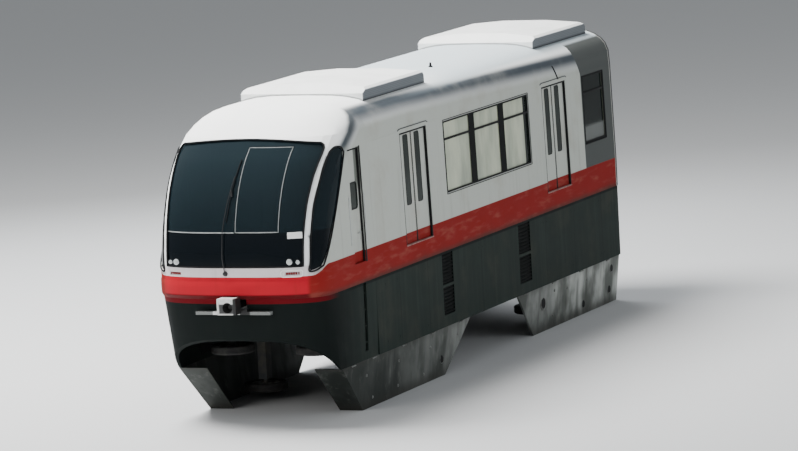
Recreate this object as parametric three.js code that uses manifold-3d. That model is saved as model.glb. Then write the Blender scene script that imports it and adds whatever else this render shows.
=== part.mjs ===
// A leading car of a two-car straddle-beam urban monorail, in millimetres.
// The front faces +X, the car's left side is +Y and +Z is up. The origin is the middle of the car
// on the top face of the track beam, where the running tyres stand.

import * as THREE from "three";
import { mergeVertices } from "three/addons/utils/BufferGeometryUtils.js";
import Module from "manifold-3d";

const wasm = await Module();
wasm.setup();

// Driving dimensions of the body
const HALF_WIDTH = 1490; // outside of the side walls at the stripe
const REAR_X = -7050; // outside of the rear end wall
const NOSE_BASE_X = 4620; // where the cab module is bolted to the body
const NOSE_TIP_X = 7100; // middle of the front, at the stripe
const FLOOR_Z = 1130; // floor above the beam
const BODY_BOTTOM_Z = 800; // lower edge of the stripe
const STRIPE_TOP_Z = 1320; // the wall leans in above this
const CANT_Z = 3050; // where the wall ends and the roof begins
const CROWN_Z = 3750; // top of the roof
const WALL_LEAN = 0.0216; // inward lean of the wall above the stripe
const WALL = 110; // whole thickness of a side wall
const JOINT_GAP = 1; // gap between fixed panels
const SKIRT_BOTTOM_Z = -480;
const COVER_BOTTOM_Z = -1320; // lowest edge, on the bogie covers
const BEAM_HALF = 400; // half the width of the track beam

// Passenger doors: the middle of each doorway, and the sizes they share
const DOORWAY_X = [2620, -4060];
const DOORWAY = { half: 600, top: 3020, leafTop: 3075, leafBottom: 1096 };
const LEAF = { outer: 46, inner: 84, tuck: 20, seam: 3, travel: 580 };
const POCKET = { outer: 40, inner: 90, reach: 645, top: 3085, bottom: 1085 };
const LEAF_PANE = { middle: 250, half: 110, bottom: 1780, top: 2960, skin: 14 };

// Crew doors in the cab sides
const CREW = { rear: 4990, front: 5450, top: 3030, lip: 46, leaf: 40, overlap: 22, swingGap: 75 };
const CREW_PANE = { half: 150, bottom: 2030, top: 2460 };

// Side windows: from front to rear, and the posts between the panes
const BAY = { front: 1280, rear: -2780, bottom: 1740, top: 3010, post: 230, panes: 3 };
const END_BAY = { front: -5500, rear: -6610, bottom: 1740, top: 2990 };
const FRAME = { edge: 45, deep: 62, inset: 4, glass: 12, glassInset: 26, fit: 2 };

// Bogies
const BOGIE_X = [4250, -4350];
const TYRE = { radius: 480, inner: 105, outer: 365, half: 750 };
const GUIDE = { radius: 365, half: 75, x: 1250, z: -250 };
const STABLE = { radius: 365, half: 75, z: -1085 };
const SIDE_WHEEL_Y = BEAM_HALF + GUIDE.radius;
const SPINDLE = 34;

const PAINT = {
  white: [0xe6e9e8, 0.35, 0.0],
  dark: [0x3b4140, 0.5, 0.0],
  cover: [0x8b8f8e, 0.55, 0.3],
  glass: [0x0d1418, 0.08, 0.0],
  rubber: [0x17181a, 0.9, 0.0],
  steel: [0x55585c, 0.5, 0.6],
  grey: [0x9ca3a6, 0.5, 0.1],
  seat: [0x2f5f8a, 0.85, 0.0],
};

// Solids, from three.js geometry and back
function solidFrom(geometry) {
  const bare = geometry.index ? geometry.toNonIndexed() : geometry.clone();
  bare.deleteAttribute("normal");
  bare.deleteAttribute("uv");
  const merged = mergeVertices(bare, 1e-3);
  const keep = [];
  const index = merged.index.array;
  for (let i = 0; i < index.length; i += 3) {
    const [a, b, c] = [index[i], index[i + 1], index[i + 2]];
    if (a !== b && b !== c && a !== c) keep.push(a, b, c);
  }
  const vertProperties = merged.attributes.position.array;
  return new wasm.Manifold(new wasm.Mesh({ numProp: 3, vertProperties, triVerts: new Uint32Array(keep) }));
}

function geometryFrom(solid) {
  const m = solid.getMesh();
  const geometry = new THREE.BufferGeometry();
  geometry.setAttribute("position", new THREE.BufferAttribute(new Float32Array(m.vertProperties), 3));
  geometry.setIndex(new THREE.BufferAttribute(new Uint32Array(m.triVerts), 1));
  const flat = geometry.toNonIndexed();
  flat.computeVertexNormals();
  return flat;
}

const join = (...solids) => solids.reduce((a, b) => a.add(b));
const cut = (solid, ...tools) => tools.reduce((a, b) => a.subtract(b), solid);

function box(x0, x1, y0, y1, z0, z1) {
  const g = new THREE.BoxGeometry(x1 - x0, y1 - y0, z1 - z0);
  return solidFrom(g.translate((x0 + x1) / 2, (y0 + y1) / 2, (z0 + z1) / 2));
}

// A box on the left side and the same one mirrored to the right, joined
const boxPair = (x0, x1, y0, y1, z0, z1) => join(box(x0, x1, y0, y1, z0, z1), box(x0, x1, -y1, -y0, z0, z1));

function extrude(points, depth) {
  const shape = new THREE.Shape(points.map(([a, b]) => new THREE.Vector2(a, b)));
  return new THREE.ExtrudeGeometry(shape, { depth, bevelEnabled: false });
}

const basis = (a, b, c) => new THREE.Matrix4().makeBasis(new THREE.Vector3(...a), new THREE.Vector3(...b), new THREE.Vector3(...c));

// Outlines in the Y-Z plane pulled along X, and outlines in the X-Z plane pulled along Y
function alongX(points, x0, x1) {
  const g = extrude(points, x1 - x0).applyMatrix4(basis([0, 1, 0], [0, 0, 1], [1, 0, 0]));
  return solidFrom(g.translate(x0, 0, 0));
}

function alongY(points, y0, y1) {
  const g = extrude(points, y1 - y0).applyMatrix4(basis([1, 0, 0], [0, 0, 1], [0, -1, 0]));
  return solidFrom(g.translate(0, y1, 0));
}

function lathe(points, segments) {
  return new THREE.LatheGeometry(points.map(([r, h]) => new THREE.Vector2(r, h)), segments);
}

// A turned piece standing on Z, and one lying along Y
const turnedZ = (points, segments = 20) => solidFrom(lathe(points, segments).rotateX(Math.PI / 2));
const turnedY = (points, segments = 24) => solidFrom(lathe(points, segments));
const rodZ = (r, z0, z1, segments = 16) => turnedZ([[0, z0], [r, z0], [r, z1], [0, z1]], segments);
const rodY = (r, y0, y1, segments = 16) => turnedY([[0, y0], [r, y0], [r, y1], [0, y1]], segments);
const mirrorY = (solid) => solid.mirror([0, 1, 0]);

// The body's section: the wall leans in a little and turns over the shoulder on a superellipse
const SHOULDER_STEPS = 8;
const SHOULDER_POWER = 3.3;
const wallY = (z) => HALF_WIDTH - WALL_LEAN * Math.max(0, z - STRIPE_TOP_Z);
const shoulder = Array.from({ length: SHOULDER_STEPS + 1 }, (_, k) => {
  const angle = (Math.PI / 2) * (k / SHOULDER_STEPS);
  const lift = Math.sin(angle) ** (2 / SHOULDER_POWER);
  const side = k === SHOULDER_STEPS ? 0 : Math.cos(angle) ** (2 / SHOULDER_POWER);
  return [wallY(CANT_Z) * side, CANT_Z + (CROWN_Z - CANT_Z) * lift];
});

// The same curve from the left wall over the crown to the right wall, moved inwards by a thickness
function roofLine(inset) {
  const scaleY = (wallY(CANT_Z) - inset) / wallY(CANT_Z);
  const scaleZ = (CROWN_Z - inset - CANT_Z) / (CROWN_Z - CANT_Z);
  const left = shoulder.map(([y, z]) => [y * scaleY, CANT_Z + (z - CANT_Z) * scaleZ]);
  const right = left.slice(0, -1).map(([y, z]) => [-y, z]).reverse();
  return [...left, ...right];
}

// The nose: level outlines whose front runs back with height, each a superellipse into the sides
const NOSE = { base: 4500, flatTop: 1200, rise: 2.5, corner: 3.0, cornerDeep: 800, cornerGrow: 0.16 };
const NOSE_STEPS = 9;
// height, how far the front stands proud of the tip there
const NOSE_LOWER = [
  [BODY_BOTTOM_Z + JOINT_GAP, -45],
  [860, 20],
  [1000, 32],
  [1095, 22],
  [1115, 0],
  [1310, -6],
  [1560, 0],
  [1820, 0],
  [2080, 0],
  [2330, 0],
  [2560, 0],
  [2760, 0],
  [2920, 0],
];

function noseFront(z) {
  if (z <= NOSE.flatTop) return NOSE_TIP_X;
  const up = Math.min(1, (z - NOSE.flatTop) / (CROWN_Z - NOSE.flatTop));
  return NOSE.base + (NOSE_TIP_X - NOSE.base) * Math.sqrt(1 - up ** NOSE.rise);
}

function noseRing(z, half, front, rear, drop) {
  const deep = NOSE.cornerDeep + NOSE.cornerGrow * Math.max(0, z - STRIPE_TOP_Z);
  const start = Math.max(rear + 1, front - deep);
  const left = [[rear, half]];
  for (let k = 0; k <= NOSE_STEPS; k++) {
    const angle = (Math.PI / 2) * (k / NOSE_STEPS);
    const x = start + (front - start) * Math.sin(angle) ** (2 / NOSE.corner);
    const y = k === NOSE_STEPS ? 0 : half * Math.cos(angle) ** (2 / NOSE.corner);
    left.push([x, y]);
  }
  const right = left.slice(0, -1).map(([x, y]) => [x, -y]).reverse();
  return [...left, ...right].map(([x, y]) => [x, y, z - drop]);
}

// A closed skin through a stack of level rings with the same number of points, lowest first
function stack(rings) {
  const n = rings[0].length;
  const triangles = [];
  const face = (...p) => triangles.push(...p.flat());
  const lowest = rings[0];
  const highest = rings[rings.length - 1];
  for (let i = 1; i < n - 1; i++) {
    face(lowest[0], lowest[i], lowest[i + 1]);
    face(highest[0], highest[i + 1], highest[i]);
  }
  for (let j = 0; j < rings.length - 1; j++) {
    for (let i = 0; i < n; i++) {
      const next = (i + 1) % n;
      face(rings[j][i], rings[j + 1][next], rings[j][next]);
      face(rings[j][i], rings[j + 1][i], rings[j + 1][next]);
    }
  }
  const g = new THREE.BufferGeometry();
  g.setAttribute("position", new THREE.BufferAttribute(new Float32Array(triangles), 3));
  return solidFrom(g);
}

// The whole nose as a solid, with its skin moved inwards by a thickness
function noseSolid(inset, rear = NOSE_BASE_X, bottom = NOSE_LOWER[0][0]) {
  const squeeze = (CROWN_Z - inset - bottom) / (CROWN_Z - bottom);
  const place = (z) => bottom + (z - bottom) * squeeze;
  const rings = NOSE_LOWER.filter(([z]) => z >= bottom).map(([z, proud]) =>
    noseRing(place(z), wallY(z) - inset, noseFront(z) + proud - inset, rear, 0));
  if (bottom < NOSE_LOWER[0][0]) {
    rings.unshift(noseRing(bottom, HALF_WIDTH - inset, NOSE_TIP_X - inset, rear, 0));
  }
  for (const [y, z] of shoulder) {
    const half = Math.max(0, y * ((wallY(CANT_Z) - inset) / wallY(CANT_Z)));
    rings.push(noseRing(place(z), half, Math.max(rear + 2, noseFront(z) - inset), rear, 0));
  }
  return stack(rings);
}

// Openings in the nose: the windscreen seen from the front, and the quarter light seen from the side
const SCREEN = { corner: 3215, cornerHalf: 1225, crown: 3292, arch: 4, depth: 42, fit: 6 };
// height, half width of the windscreen there, up to the start of its arched top
const SCREEN_SIDE = [
  [1330, 1212],
  [1800, 1216],
  [2300, 1234],
  [2750, 1262],
  [3040, 1290],
  [3125, 1288],
  [3180, 1266],
];
const EXIT_DOOR = { right: 80, left: 830, bottom: 1880, top: 3180, gap: 8 };

function screenOutline(grow) {
  const s = SCREEN;
  const side = SCREEN_SIDE.map(([z, half], i) => [half + grow, i === 0 ? z - grow : z]);
  const arch = Array.from({ length: s.arch + 1 }, (_, k) => {
    const y = s.cornerHalf * (1 - k / s.arch);
    return [y, s.crown - (s.crown - s.corner) * (y / s.cornerHalf) ** 2 + grow];
  });
  const right = [...side, ...arch.slice(0, -1)].map(([y, z]) => [-y, z]).reverse();
  return [...side, ...arch, ...right];
}

function quarterOutline(grow) {
  return [
    [6585 - grow, 1400 - grow],
    [6690, 1290 - grow],
    [6862 + grow, 1235 - grow],
    [6848 + grow, 1400],
    [6784 + grow, 1800],
    [6607 + grow, 2300],
    [6292 + grow, 2750],
    [6032 + grow, 3000 + grow],
    [5925 + grow, 3078 + grow],
    [5800, 3122 + grow],
    [5670 - grow, 3108 + grow],
    [5612 - grow, 3040],
    [5632 - grow, 2930],
    [6080 - grow, 2150],
  ];
}

const left = (outline) => alongY(outline, 1287, HALF_WIDTH + 60);

function crewOpening(side) {
  const c = CREW;
  const outer = box(c.rear, c.front, 1300, HALF_WIDTH + 60, FLOOR_Z + 6, c.top);
  const insideLip = noseSolid(c.lip, NOSE_BASE_X - 200);
  const behind = box(c.rear - c.overlap - 8, c.front + c.overlap + c.swingGap, 1200, HALF_WIDTH + 60, FLOOR_Z + 6, c.top + 30);
  const opening = outer.add(behind.intersect(insideLip));
  return side > 0 ? opening : mirrorY(opening);
}

// Lamps: two pods a side low in the windscreen's black panel, and a slot a side for the tail lamps
const HEADLAMPS = [{ y: 1000, z: 1408, radius: 56, face: 7008 }, { y: 1125, z: 1400, radius: 40, face: 6956 }];
const TAIL_LAMP = { inner: 920, outer: 1145, bottom: 1188, top: 1242, depth: 24 };
const rodX = (r, x0, x1, segments = 16) => rodY(r, x0, x1, segments).rotate([0, 0, -90]);

function tailLampSlots() {
  const t = TAIL_LAMP;
  const skin = noseSolid(-8).subtract(noseSolid(t.depth));
  return skin.intersect(boxPair(6700, 7300, t.inner, t.outer, t.bottom, t.top));
}

function noseShell() {
  const whole = noseSolid(0).subtract(tailLampSlots());
  const cabin = noseSolid(90, NOSE_BASE_X - 200, BODY_BOTTOM_Z - 100);
  const overFloor = cabin.intersect(box(NOSE_BASE_X - 200, 7600, -1600, 1600, FLOOR_Z + JOINT_GAP, 4000));
  const deckSpace = box(NOSE_BASE_X - 200, 6202, -1372, 1372, 700, FLOOR_Z + 20);
  const quarter = left(quarterOutline(0));
  const screen = alongX(screenOutline(0), 5300, 7600);
  return cut(whole, overFloor, deckSpace, screen, quarter, mirrorY(quarter), crewOpening(1), crewOpening(-1));
}

const glassSkin = noseSolid(8).subtract(noseSolid(8 + SCREEN.depth, NOSE_BASE_X - 200, BODY_BOTTOM_Z - 100));

function windscreen() {
  const d = EXIT_DOOR;
  const sheet = glassSkin.intersect(alongX(screenOutline(-SCREEN.fit), 5300, 7600));
  const lamps = HEADLAMPS.map((l) => rodX(l.radius, l.face - 60, l.face).translate([0, l.y, l.z]));
  const pods = join(...lamps, ...lamps.map(mirrorY));
  return sheet.subtract(box(5000, 7600, d.right - d.gap, d.left + d.gap, d.bottom - d.gap, d.top + d.gap)).add(pods);
}

function exitDoor() {
  const d = EXIT_DOOR;
  return glassSkin.intersect(box(5000, 7600, d.right, d.left, d.bottom, d.top));
}

const quarterGlass = () => glassSkin.intersect(left(quarterOutline(-SCREEN.fit)));

function crewDoor() {
  const c = CREW;
  const p = CREW_PANE;
  const plate = noseSolid(c.lip + 6).subtract(noseSolid(c.lip + 6 + c.leaf, NOSE_BASE_X - 200, BODY_BOTTOM_Z - 100));
  const leaf = plate.intersect(box(c.rear - c.overlap, c.front + c.overlap, 1250, 1600, FLOOR_Z + 14, c.top + 22));
  const middle = (c.rear + c.front) / 2;
  const face = wallY(2500) - c.lip - 6;
  const outside = box(middle - p.half, middle + p.half, face - 12, face + 60, p.bottom, p.top);
  const inside = box(middle - p.half, middle + p.half, face - 100, face - 24, p.bottom, p.top);
  return cut(leaf, outside, inside);
}

// The lower front: a tapering apron below the nose, cut away at 45 degrees ahead of the bogie
const APRON = { wall: 38, front: 7050, low: 6870, lowHalf: 1462, bottom: 110 };
const APRON_SLOT = { rear: 5040, front: 5160, bottom: -340, top: 780 };

function apronSolid(inset) {
  const levels = [
    [BODY_BOTTOM_Z - JOINT_GAP, APRON.front, HALF_WIDTH - 4],
    [APRON.bottom, APRON.low, APRON.lowHalf + 20],
    [SKIRT_BOTTOM_Z, APRON.low - 110, APRON.lowHalf],
  ];
  return stack(levels.map(([z, front, half]) => noseRing(z, half - inset, front - inset, NOSE_BASE_X, 0)).reverse());
}

function noseApron() {
  const a = APRON;
  const hollow = apronSolid(a.wall);
  const inner = join(hollow, hollow.translate([-50, 0, 0]), box(NOSE_BASE_X - 60, NOSE_BASE_X + 60, -1440, 1440, -600, 900));
  const away = alongY([[6860, a.bottom], [7600, a.bottom], [7600, -700], [5860, -700], [6156, SKIRT_BOTTOM_Z]], -1700, 1700);
  const tall = cut(apronSolid(0), inner.intersect(box(4000, 7600, -1600, 1600, -700, BODY_BOTTOM_Z - 45)),
    box(4000, 6150, -1300, 1300, -700, 900));
  const mouth = box(6700, 7600, -215, 215, 560, 830);
  const slot = box(APRON_SLOT.rear, APRON_SLOT.front, 1380, 1600, APRON_SLOT.bottom, APRON_SLOT.top);
  return cut(tall, away, mouth, slot, mirrorY(slot));
}

// Side walls: one thick panel with door pockets inside it and its windows cut
function wallBand(outer, inner, z0, z1) {
  const levels = [z0, STRIPE_TOP_Z, z1].filter((z, i, all) => i !== 1 || (z > all[0] && z < all[2]));
  return [...levels.map((z) => [wallY(z) - outer, z]), ...levels.reverse().map((z) => [wallY(z) - inner, z])];
}

function sideWall() {
  let wall = alongX(wallBand(0, WALL, BODY_BOTTOM_Z, CANT_Z - JOINT_GAP), REAR_X + 82, NOSE_BASE_X - JOINT_GAP);
  for (const x of DOORWAY_X) {
    const pocket = wallBand(POCKET.outer, POCKET.inner, POCKET.bottom, POCKET.top - 50);
    wall = cut(wall,
      alongX(pocket, x - DOORWAY.half - POCKET.reach, x + DOORWAY.half + POCKET.reach),
      box(x - DOORWAY.half, x + DOORWAY.half, 1300, 1600, FLOOR_Z, DOORWAY.top));
  }
  return cut(wall,
    box(BAY.rear, BAY.front, 1300, 1600, BAY.bottom, BAY.top),
    box(END_BAY.rear, END_BAY.front, 1300, 1600, END_BAY.bottom, END_BAY.top));
}

// A glazed bay: a frame with its posts, and one sheet of glass through them
function glazedBay(bay, posts) {
  const f = FRAME;
  const [x0, x1] = [bay.rear + f.fit, bay.front - f.fit];
  const [z0, z1] = [bay.bottom + f.fit, bay.top - f.fit];
  let frame = alongX(wallBand(f.inset, f.inset + f.deep, z0, z1), x0, x1);
  const clear = (x1 - x0 - 2 * f.edge - posts * BAY.post) / (posts + 1);
  for (let k = 0; k <= posts; k++) {
    const from = x0 + f.edge + k * (clear + BAY.post);
    frame = frame.subtract(box(from, from + clear, 1200, 1600, z0 + f.edge, z1 - f.edge));
  }
  return frame.add(alongX(wallBand(f.glassInset, f.glassInset + f.glass, z0 + 8, z1 - 8), x0 + 8, x1 - 8));
}

// A door leaf, closed, running from one X to another; its pane is a thin skin between two recesses
function doorLeaf(x0, x1, paneX) {
  const p = LEAF_PANE;
  const leaf = alongX(wallBand(LEAF.outer, LEAF.inner, DOORWAY.leafBottom, DOORWAY.leafTop - 50), x0, x1);
  const outside = alongX(wallBand(LEAF.outer - 10, LEAF.outer + p.skin, p.bottom, p.top), paneX - p.half, paneX + p.half);
  const inside = alongX(wallBand(LEAF.inner - p.skin, LEAF.inner + 10, p.bottom, p.top), paneX - p.half, paneX + p.half);
  return cut(leaf, outside, inside);
}

// Roof: one shell over the saloon, with a ceiling
function roofShell() {
  const outline = roofLine(0);
  const ceiling = roofLine(115).map(([y, z]) => [y, Math.min(z, 3420)]);
  const whole = alongX(outline, REAR_X + 82, NOSE_BASE_X - JOINT_GAP);
  const hollow = alongX([...ceiling, [ceiling.at(-1)[0], CANT_Z - 40], [ceiling[0][0], CANT_Z - 40]], REAR_X, NOSE_BASE_X + 40);
  return whole.subtract(hollow);
}

// Roof units: low air-conditioner housings with sloping front edges and a boxed side
const ROOF_UNIT = { length: 2350, half: 1110, foot: 3660, top: 3862, crown: 3915 };
const ROOF_UNIT_X = [2420, -5480];

function roofUnit(x) {
  const u = ROOF_UNIT;
  const [rear, front] = [x - u.length / 2, x + u.length / 2];
  const section = [[-u.half, u.foot - 60], [u.half, u.foot - 60], [u.half, u.top - 40], [u.half - 60, u.top],
    [420, u.crown], [-420, u.crown], [-u.half + 60, u.top], [-u.half, u.top - 40]];
  const side = [[rear - 90, 3500], [front + 260, 3500], [front + 260, 3775], [front - 60, u.crown + 10], [rear + 60, u.crown + 10],
    [rear - 90, 3775]];
  const whole = alongX(section, rear - 100, front + 300).intersect(alongY(side, -1500, 1500));
  const under = alongX([...roofLine(-4), [-1600, 3000], [1600, 3000]], rear - 200, front + 400);
  return whole.subtract(under);
}

// Floor: a deck with wheel recesses and the pivot seats of the two bogies
function floorDeck() {
  let deck = box(REAR_X + 84, 6200, -1370, 1370, 900, FLOOR_Z);
  for (const x of BOGIE_X) {
    deck = deck.subtract(box(x - 1500, x + 1500, -560, 560, 800, 1040));
    deck = deck.add(rodZ(150, 862, 1045, 20).translate([x, 0, 0]));
  }
  return cut(deck, box(5900, 6300, 1150, 1500, 800, 1200), box(5900, 6300, -1500, -1150, 800, 1200));
}

// Rear end wall with the gangway opening
const GANGWAY = { half: 610, top: 3060, outerHalf: 800, outerTop: 3270, bottom: 960 };

function rearWall() {
  const outline = [...roofLine(0), [-wallY(STRIPE_TOP_Z), STRIPE_TOP_Z], [-HALF_WIDTH, BODY_BOTTOM_Z], [HALF_WIDTH, BODY_BOTTOM_Z],
    [HALF_WIDTH, STRIPE_TOP_Z]];
  return alongX(outline, REAR_X, REAR_X + 80).subtract(box(-7200, -6900, -GANGWAY.half, GANGWAY.half, FLOOR_Z, GANGWAY.top));
}

// Gangway bellows: folds as plates of two sizes in turn, with an end frame
const BELLOWS = { folds: 6, length: 400, shrink: 55, frame: 34 };

function gangwayBellows() {
  const g = GANGWAY;
  const pitch = BELLOWS.length / (2 * BELLOWS.folds);
  const start = REAR_X - 2 - BELLOWS.length;
  const ring = (x0, x1, less) => box(x0, x1, -g.outerHalf + less, g.outerHalf - less, g.bottom + less, g.outerTop - less);
  const plates = [ring(start - BELLOWS.frame, start + 4, -12)];
  for (let k = 0; k < 2 * BELLOWS.folds; k++) {
    plates.push(ring(start + k * pitch, start + (k + 1) * pitch + (k === 2 * BELLOWS.folds - 1 ? 0 : 1), k % 2 ? 0 : BELLOWS.shrink));
  }
  return join(...plates).subtract(box(-7700, -6900, -g.half, g.half, FLOOR_Z + 2, g.top));
}

// Skirts below the stripe, and the bogie covers that hang from them
const VENT = { depth: 22, pitch: 62, slat: 20, slatDepth: 16 };
// rear, front, bottom, top
const VENTS = [
  [1210, 1700, 240, 760],
  [1210, 1700, -280, 190],
  [-2480, -1910, 240, 760],
  [-2480, -1910, -280, 190],
];

function sideSkirt() {
  const outer = HALF_WIDTH - 4;
  let skirt = box(REAR_X + 20, NOSE_BASE_X - 2, outer - 38, outer, SKIRT_BOTTOM_Z, BODY_BOTTOM_Z - JOINT_GAP);
  for (const [x0, x1, z0, z1] of VENTS) {
    skirt = skirt.subtract(box(x0, x1, outer - VENT.depth, outer + 20, z0, z1));
    for (let z = z0 + VENT.pitch / 2; z < z1 - VENT.slat; z += VENT.pitch) {
      skirt = skirt.add(box(x0 - 1, x1 + 1, outer - VENT.depth - 1, outer - VENT.depth + VENT.slatDepth, z, z + VENT.slat));
    }
  }
  return skirt;
}

// top rear, top front, bottom front, bottom rear
const COVERS = [
  { name: "front", topRear: 460, topFront: 6150, lowFront: 5190, lowRear: 1550, returnAt: "front" },
  { name: "rear", topRear: -7020, topFront: -1810, lowFront: -2700, lowRear: -6980, returnAt: "none" },
];
const COVER = { wall: 36, taper: 85, returnInner: 960 };

function bogieCover(c) {
  const [z0, z1] = [COVER_BOTTOM_Z, SKIRT_BOTTOM_Z - JOINT_GAP];
  const outer = HALF_WIDTH - 30;
  const sheet = alongX([[outer, z1], [outer - COVER.taper, z0], [outer - COVER.taper - COVER.wall, z0], [outer - COVER.wall, z1]],
    -7100, 6300);
  const face = alongY([[c.topRear, z1 + 5], [c.topFront, z1 + 5], [c.lowFront, z0 - 5], [c.lowRear, z0 - 5]], 1200, 1600);
  const cover = sheet.intersect(face);
  if (c.returnAt !== "front") return cover;
  const slant = alongY([[c.topFront, z1], [c.lowFront, z0], [c.lowFront - 52, z0], [c.topFront - 52, z1]], COVER.returnInner, outer - 5);
  const limit = alongX([[outer, z1], [outer - COVER.taper, z0], [900, z0], [900, z1]], 4000, 6300);
  return cover.add(slant.intersect(limit));
}

// Underfloor equipment: a saddle of cases over the beam, between the bogies
function underfloorEquipment() {
  const half = 1375;
  const section = [[-half, 880], [-half, -330], [-half + 90, -430], [-540, -430], [-540, 230], [540, 230], [540, -430],
    [half - 90, -430], [half, -330], [half, 880]];
  const cases = alongX(section, -2150, 2100);
  return cut(cases, ...[-720, 680].map((x) => boxPair(x - 30, x + 30, 1280, 1500, -500, 800)));
}

// Couplers
function frontCoupler() {
  const shank = box(6550, 7220, -60, 60, 640, 750);
  const head = box(7150, 7360, -165, 165, 590, 850);
  const cup = turnedY([[0, 0], [40, 0], [88, 110], [88, 140], [0, 140]], 20).rotate([0, 0, -90]).translate([7240, 20, 705]);
  const bars = join(...[-1, 1].map((s) => box(7010, 7110, Math.min(s * 240, s * 660), Math.max(s * 240, s * 660), 556, 606)));
  const web = box(7040, 7100, -250, 250, 556, 650);
  return cut(join(shank, head, bars, web), cup);
}

function rearDrawbar() {
  const bar = rodY(58, 0, 700, 16).rotate([0, 0, 90]).translate([-6780, 0, 640]);
  const flange = rodY(125, 0, 36, 20).rotate([0, 0, 90]).translate([-7444, 0, 640]);
  const pocket = box(-6960, -6600, -190, 190, 470, 885);
  return join(bar, flange, pocket);
}

// Cab and saloon fittings
function cabPartition() {
  const x = NOSE_BASE_X + 30;
  const panel = alongX([...roofLine(130).map(([y, z]) => [y, Math.min(z, 3380)]), [-1330, 2300], [-1340, FLOOR_Z + 2],
    [1340, FLOOR_Z + 2], [1330, 2300]], x, x + 40);
  return cut(panel, box(x - 50, x + 90, -1180, -180, 1900, 3050), box(x - 50, x + 90, 860, 1200, 1900, 3050),
    box(x - 50, x + 90, 60, 720, FLOOR_Z, 3120));
}

function driverDesk() {
  const side = [[5980, FLOOR_Z + 2], [6560, FLOOR_Z + 2], [6640, 1830], [6420, 1930], [6120, 1860], [5920, 1800], [5920, 1740], [5980, 1700]];
  return alongY(side, -1060, -70).subtract(alongX([[-880, FLOOR_Z], [-250, FLOOR_Z], [-250, 1640], [-880, 1640]], 5800, 6260));
}

function driverSeat() {
  const foot = box(5120, 5480, -640, -320, FLOOR_Z + 2, 1180);
  const post = box(5240, 5360, -530, -430, 1170, 1560);
  const pan = box(5080, 5540, -710, -250, 1550, 1660);
  const back = alongY([[5080, 1640], [5180, 1640], [5100, 2330], [5010, 2310]], -690, -270);
  return join(foot, post, pan, back);
}

function bench() {
  const side = [[930, 1520], [1350, 1540], [1350, FLOOR_Z + 160], [1250, FLOOR_Z + 160], [1250, FLOOR_Z + 2], [1130, FLOOR_Z + 2],
    [1080, 1420], [930, 1440]].map(([y, z]) => [y, z]);
  const pan = alongX(side.reverse(), BAY.rear + 60, BAY.front - 60);
  const back = alongX([[1240, 1535], [1300, 1535], [1352, 2020], [1300, 2020]], BAY.rear + 60, BAY.front - 60);
  return pan.add(back);
}

// Running gear, each piece about its own centre
function runningAxle() {
  const t = TYRE;
  const tyre = (s) => [[0.34, s > 0 ? t.inner + 55 : t.outer - 55], [0.56, s > 0 ? t.inner + 45 : t.outer - 45],
    [0.62, s > 0 ? t.inner : t.outer], [0.9, s > 0 ? t.inner : t.outer], [0.98, s > 0 ? t.inner + 28 : t.outer - 28],
    [1, s > 0 ? t.inner + 60 : t.outer - 60], [1, s > 0 ? t.outer - 60 : t.inner + 60], [0.98, s > 0 ? t.outer - 28 : t.inner + 28],
    [0.9, s > 0 ? t.outer : t.inner], [0.62, s > 0 ? t.outer : t.inner], [0.56, s > 0 ? t.outer - 45 : t.inner + 45],
    [0.34, s > 0 ? t.outer - 55 : t.inner + 55]].map(([r, y]) => [r * t.radius, s * y]);
  const profile = [[0, -585], [60, -585], [60, -430], [95, -420], [95, -350], ...tyre(-1), [100, -120], [100, 120], ...tyre(1),
    [95, 350], [95, 420], [60, 430], [60, 585], [0, 585]];
  return turnedY(profile, 20);
}

function sideWheel(w) {
  const r = w.radius;
  const h = w.half;
  return turnedZ([[SPINDLE + 7, -45], [r * 0.3, -45], [r * 0.34, -20], [r * 0.6, -20], [r * 0.64, -h + 6], [r * 0.92, -h], [r, -h + 26],
    [r, h - 26], [r * 0.92, h], [r * 0.64, h - 6], [r * 0.6, 20], [r * 0.34, 20], [r * 0.3, 45], [SPINDLE + 7, 45], [SPINDLE + 7, -45]], 20);
}

function bogieFrame() {
  const sides = boxPair(-1430, 1430, 478, 600, 330, 620);
  const ends = join(box(-1425, -1300, -490, 490, 390, 560), box(1300, 1425, -490, 490, 390, 560));
  const middle = join(box(-165, 165, -490, 490, 420, 700), rodZ(110, 690, 848, 16));
  const bores = [-1, 1].map((s) => rodY(66, -700, 700, 16).translate([s * TYRE.half, 0, TYRE.radius]));
  const arms = [];
  for (const side of [-1, 1]) {
    const y = side * SIDE_WHEEL_Y;
    const across = (x0, x1, y0, y1, z0, z1) => box(x0, x1, Math.min(side * y0, side * y1), Math.max(side * y0, side * y1), z0, z1);
    for (const end of [-1, 1]) {
      const x = end * GUIDE.x;
      arms.push(across(x - 75, x + 75, 595, 850, 380, 540));
      arms.push(across(x - 70, x + 70, 680, 850, -135, 400));
      arms.push(rodZ(SPINDLE, GUIDE.z - GUIDE.half - 10, -130, 12).translate([x, y, 0]));
      arms.push(rodZ(60, GUIDE.z - GUIDE.half - 34, GUIDE.z - GUIDE.half - 8, 12).translate([x, y, 0]));
    }
    arms.push(across(-200, 200, 595, 850, 360, 600));
    arms.push(across(-110, 110, 690, 840, -960, 400));
    arms.push(rodZ(SPINDLE, STABLE.z - STABLE.half - 10, -950, 12).translate([0, y, 0]));
    arms.push(rodZ(60, STABLE.z - STABLE.half - 34, STABLE.z - STABLE.half - 8, 12).translate([0, y, 0]));
    arms.push(rodZ(175, 590, 850, 16).translate([0, side * 765, 0]));
    arms.push(across(330, 900, 595, 900, 350, 610));
  }
  return cut(join(sides, ends, middle, ...arms), ...bores);
}

// The model
const car = new THREE.Group();

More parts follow.
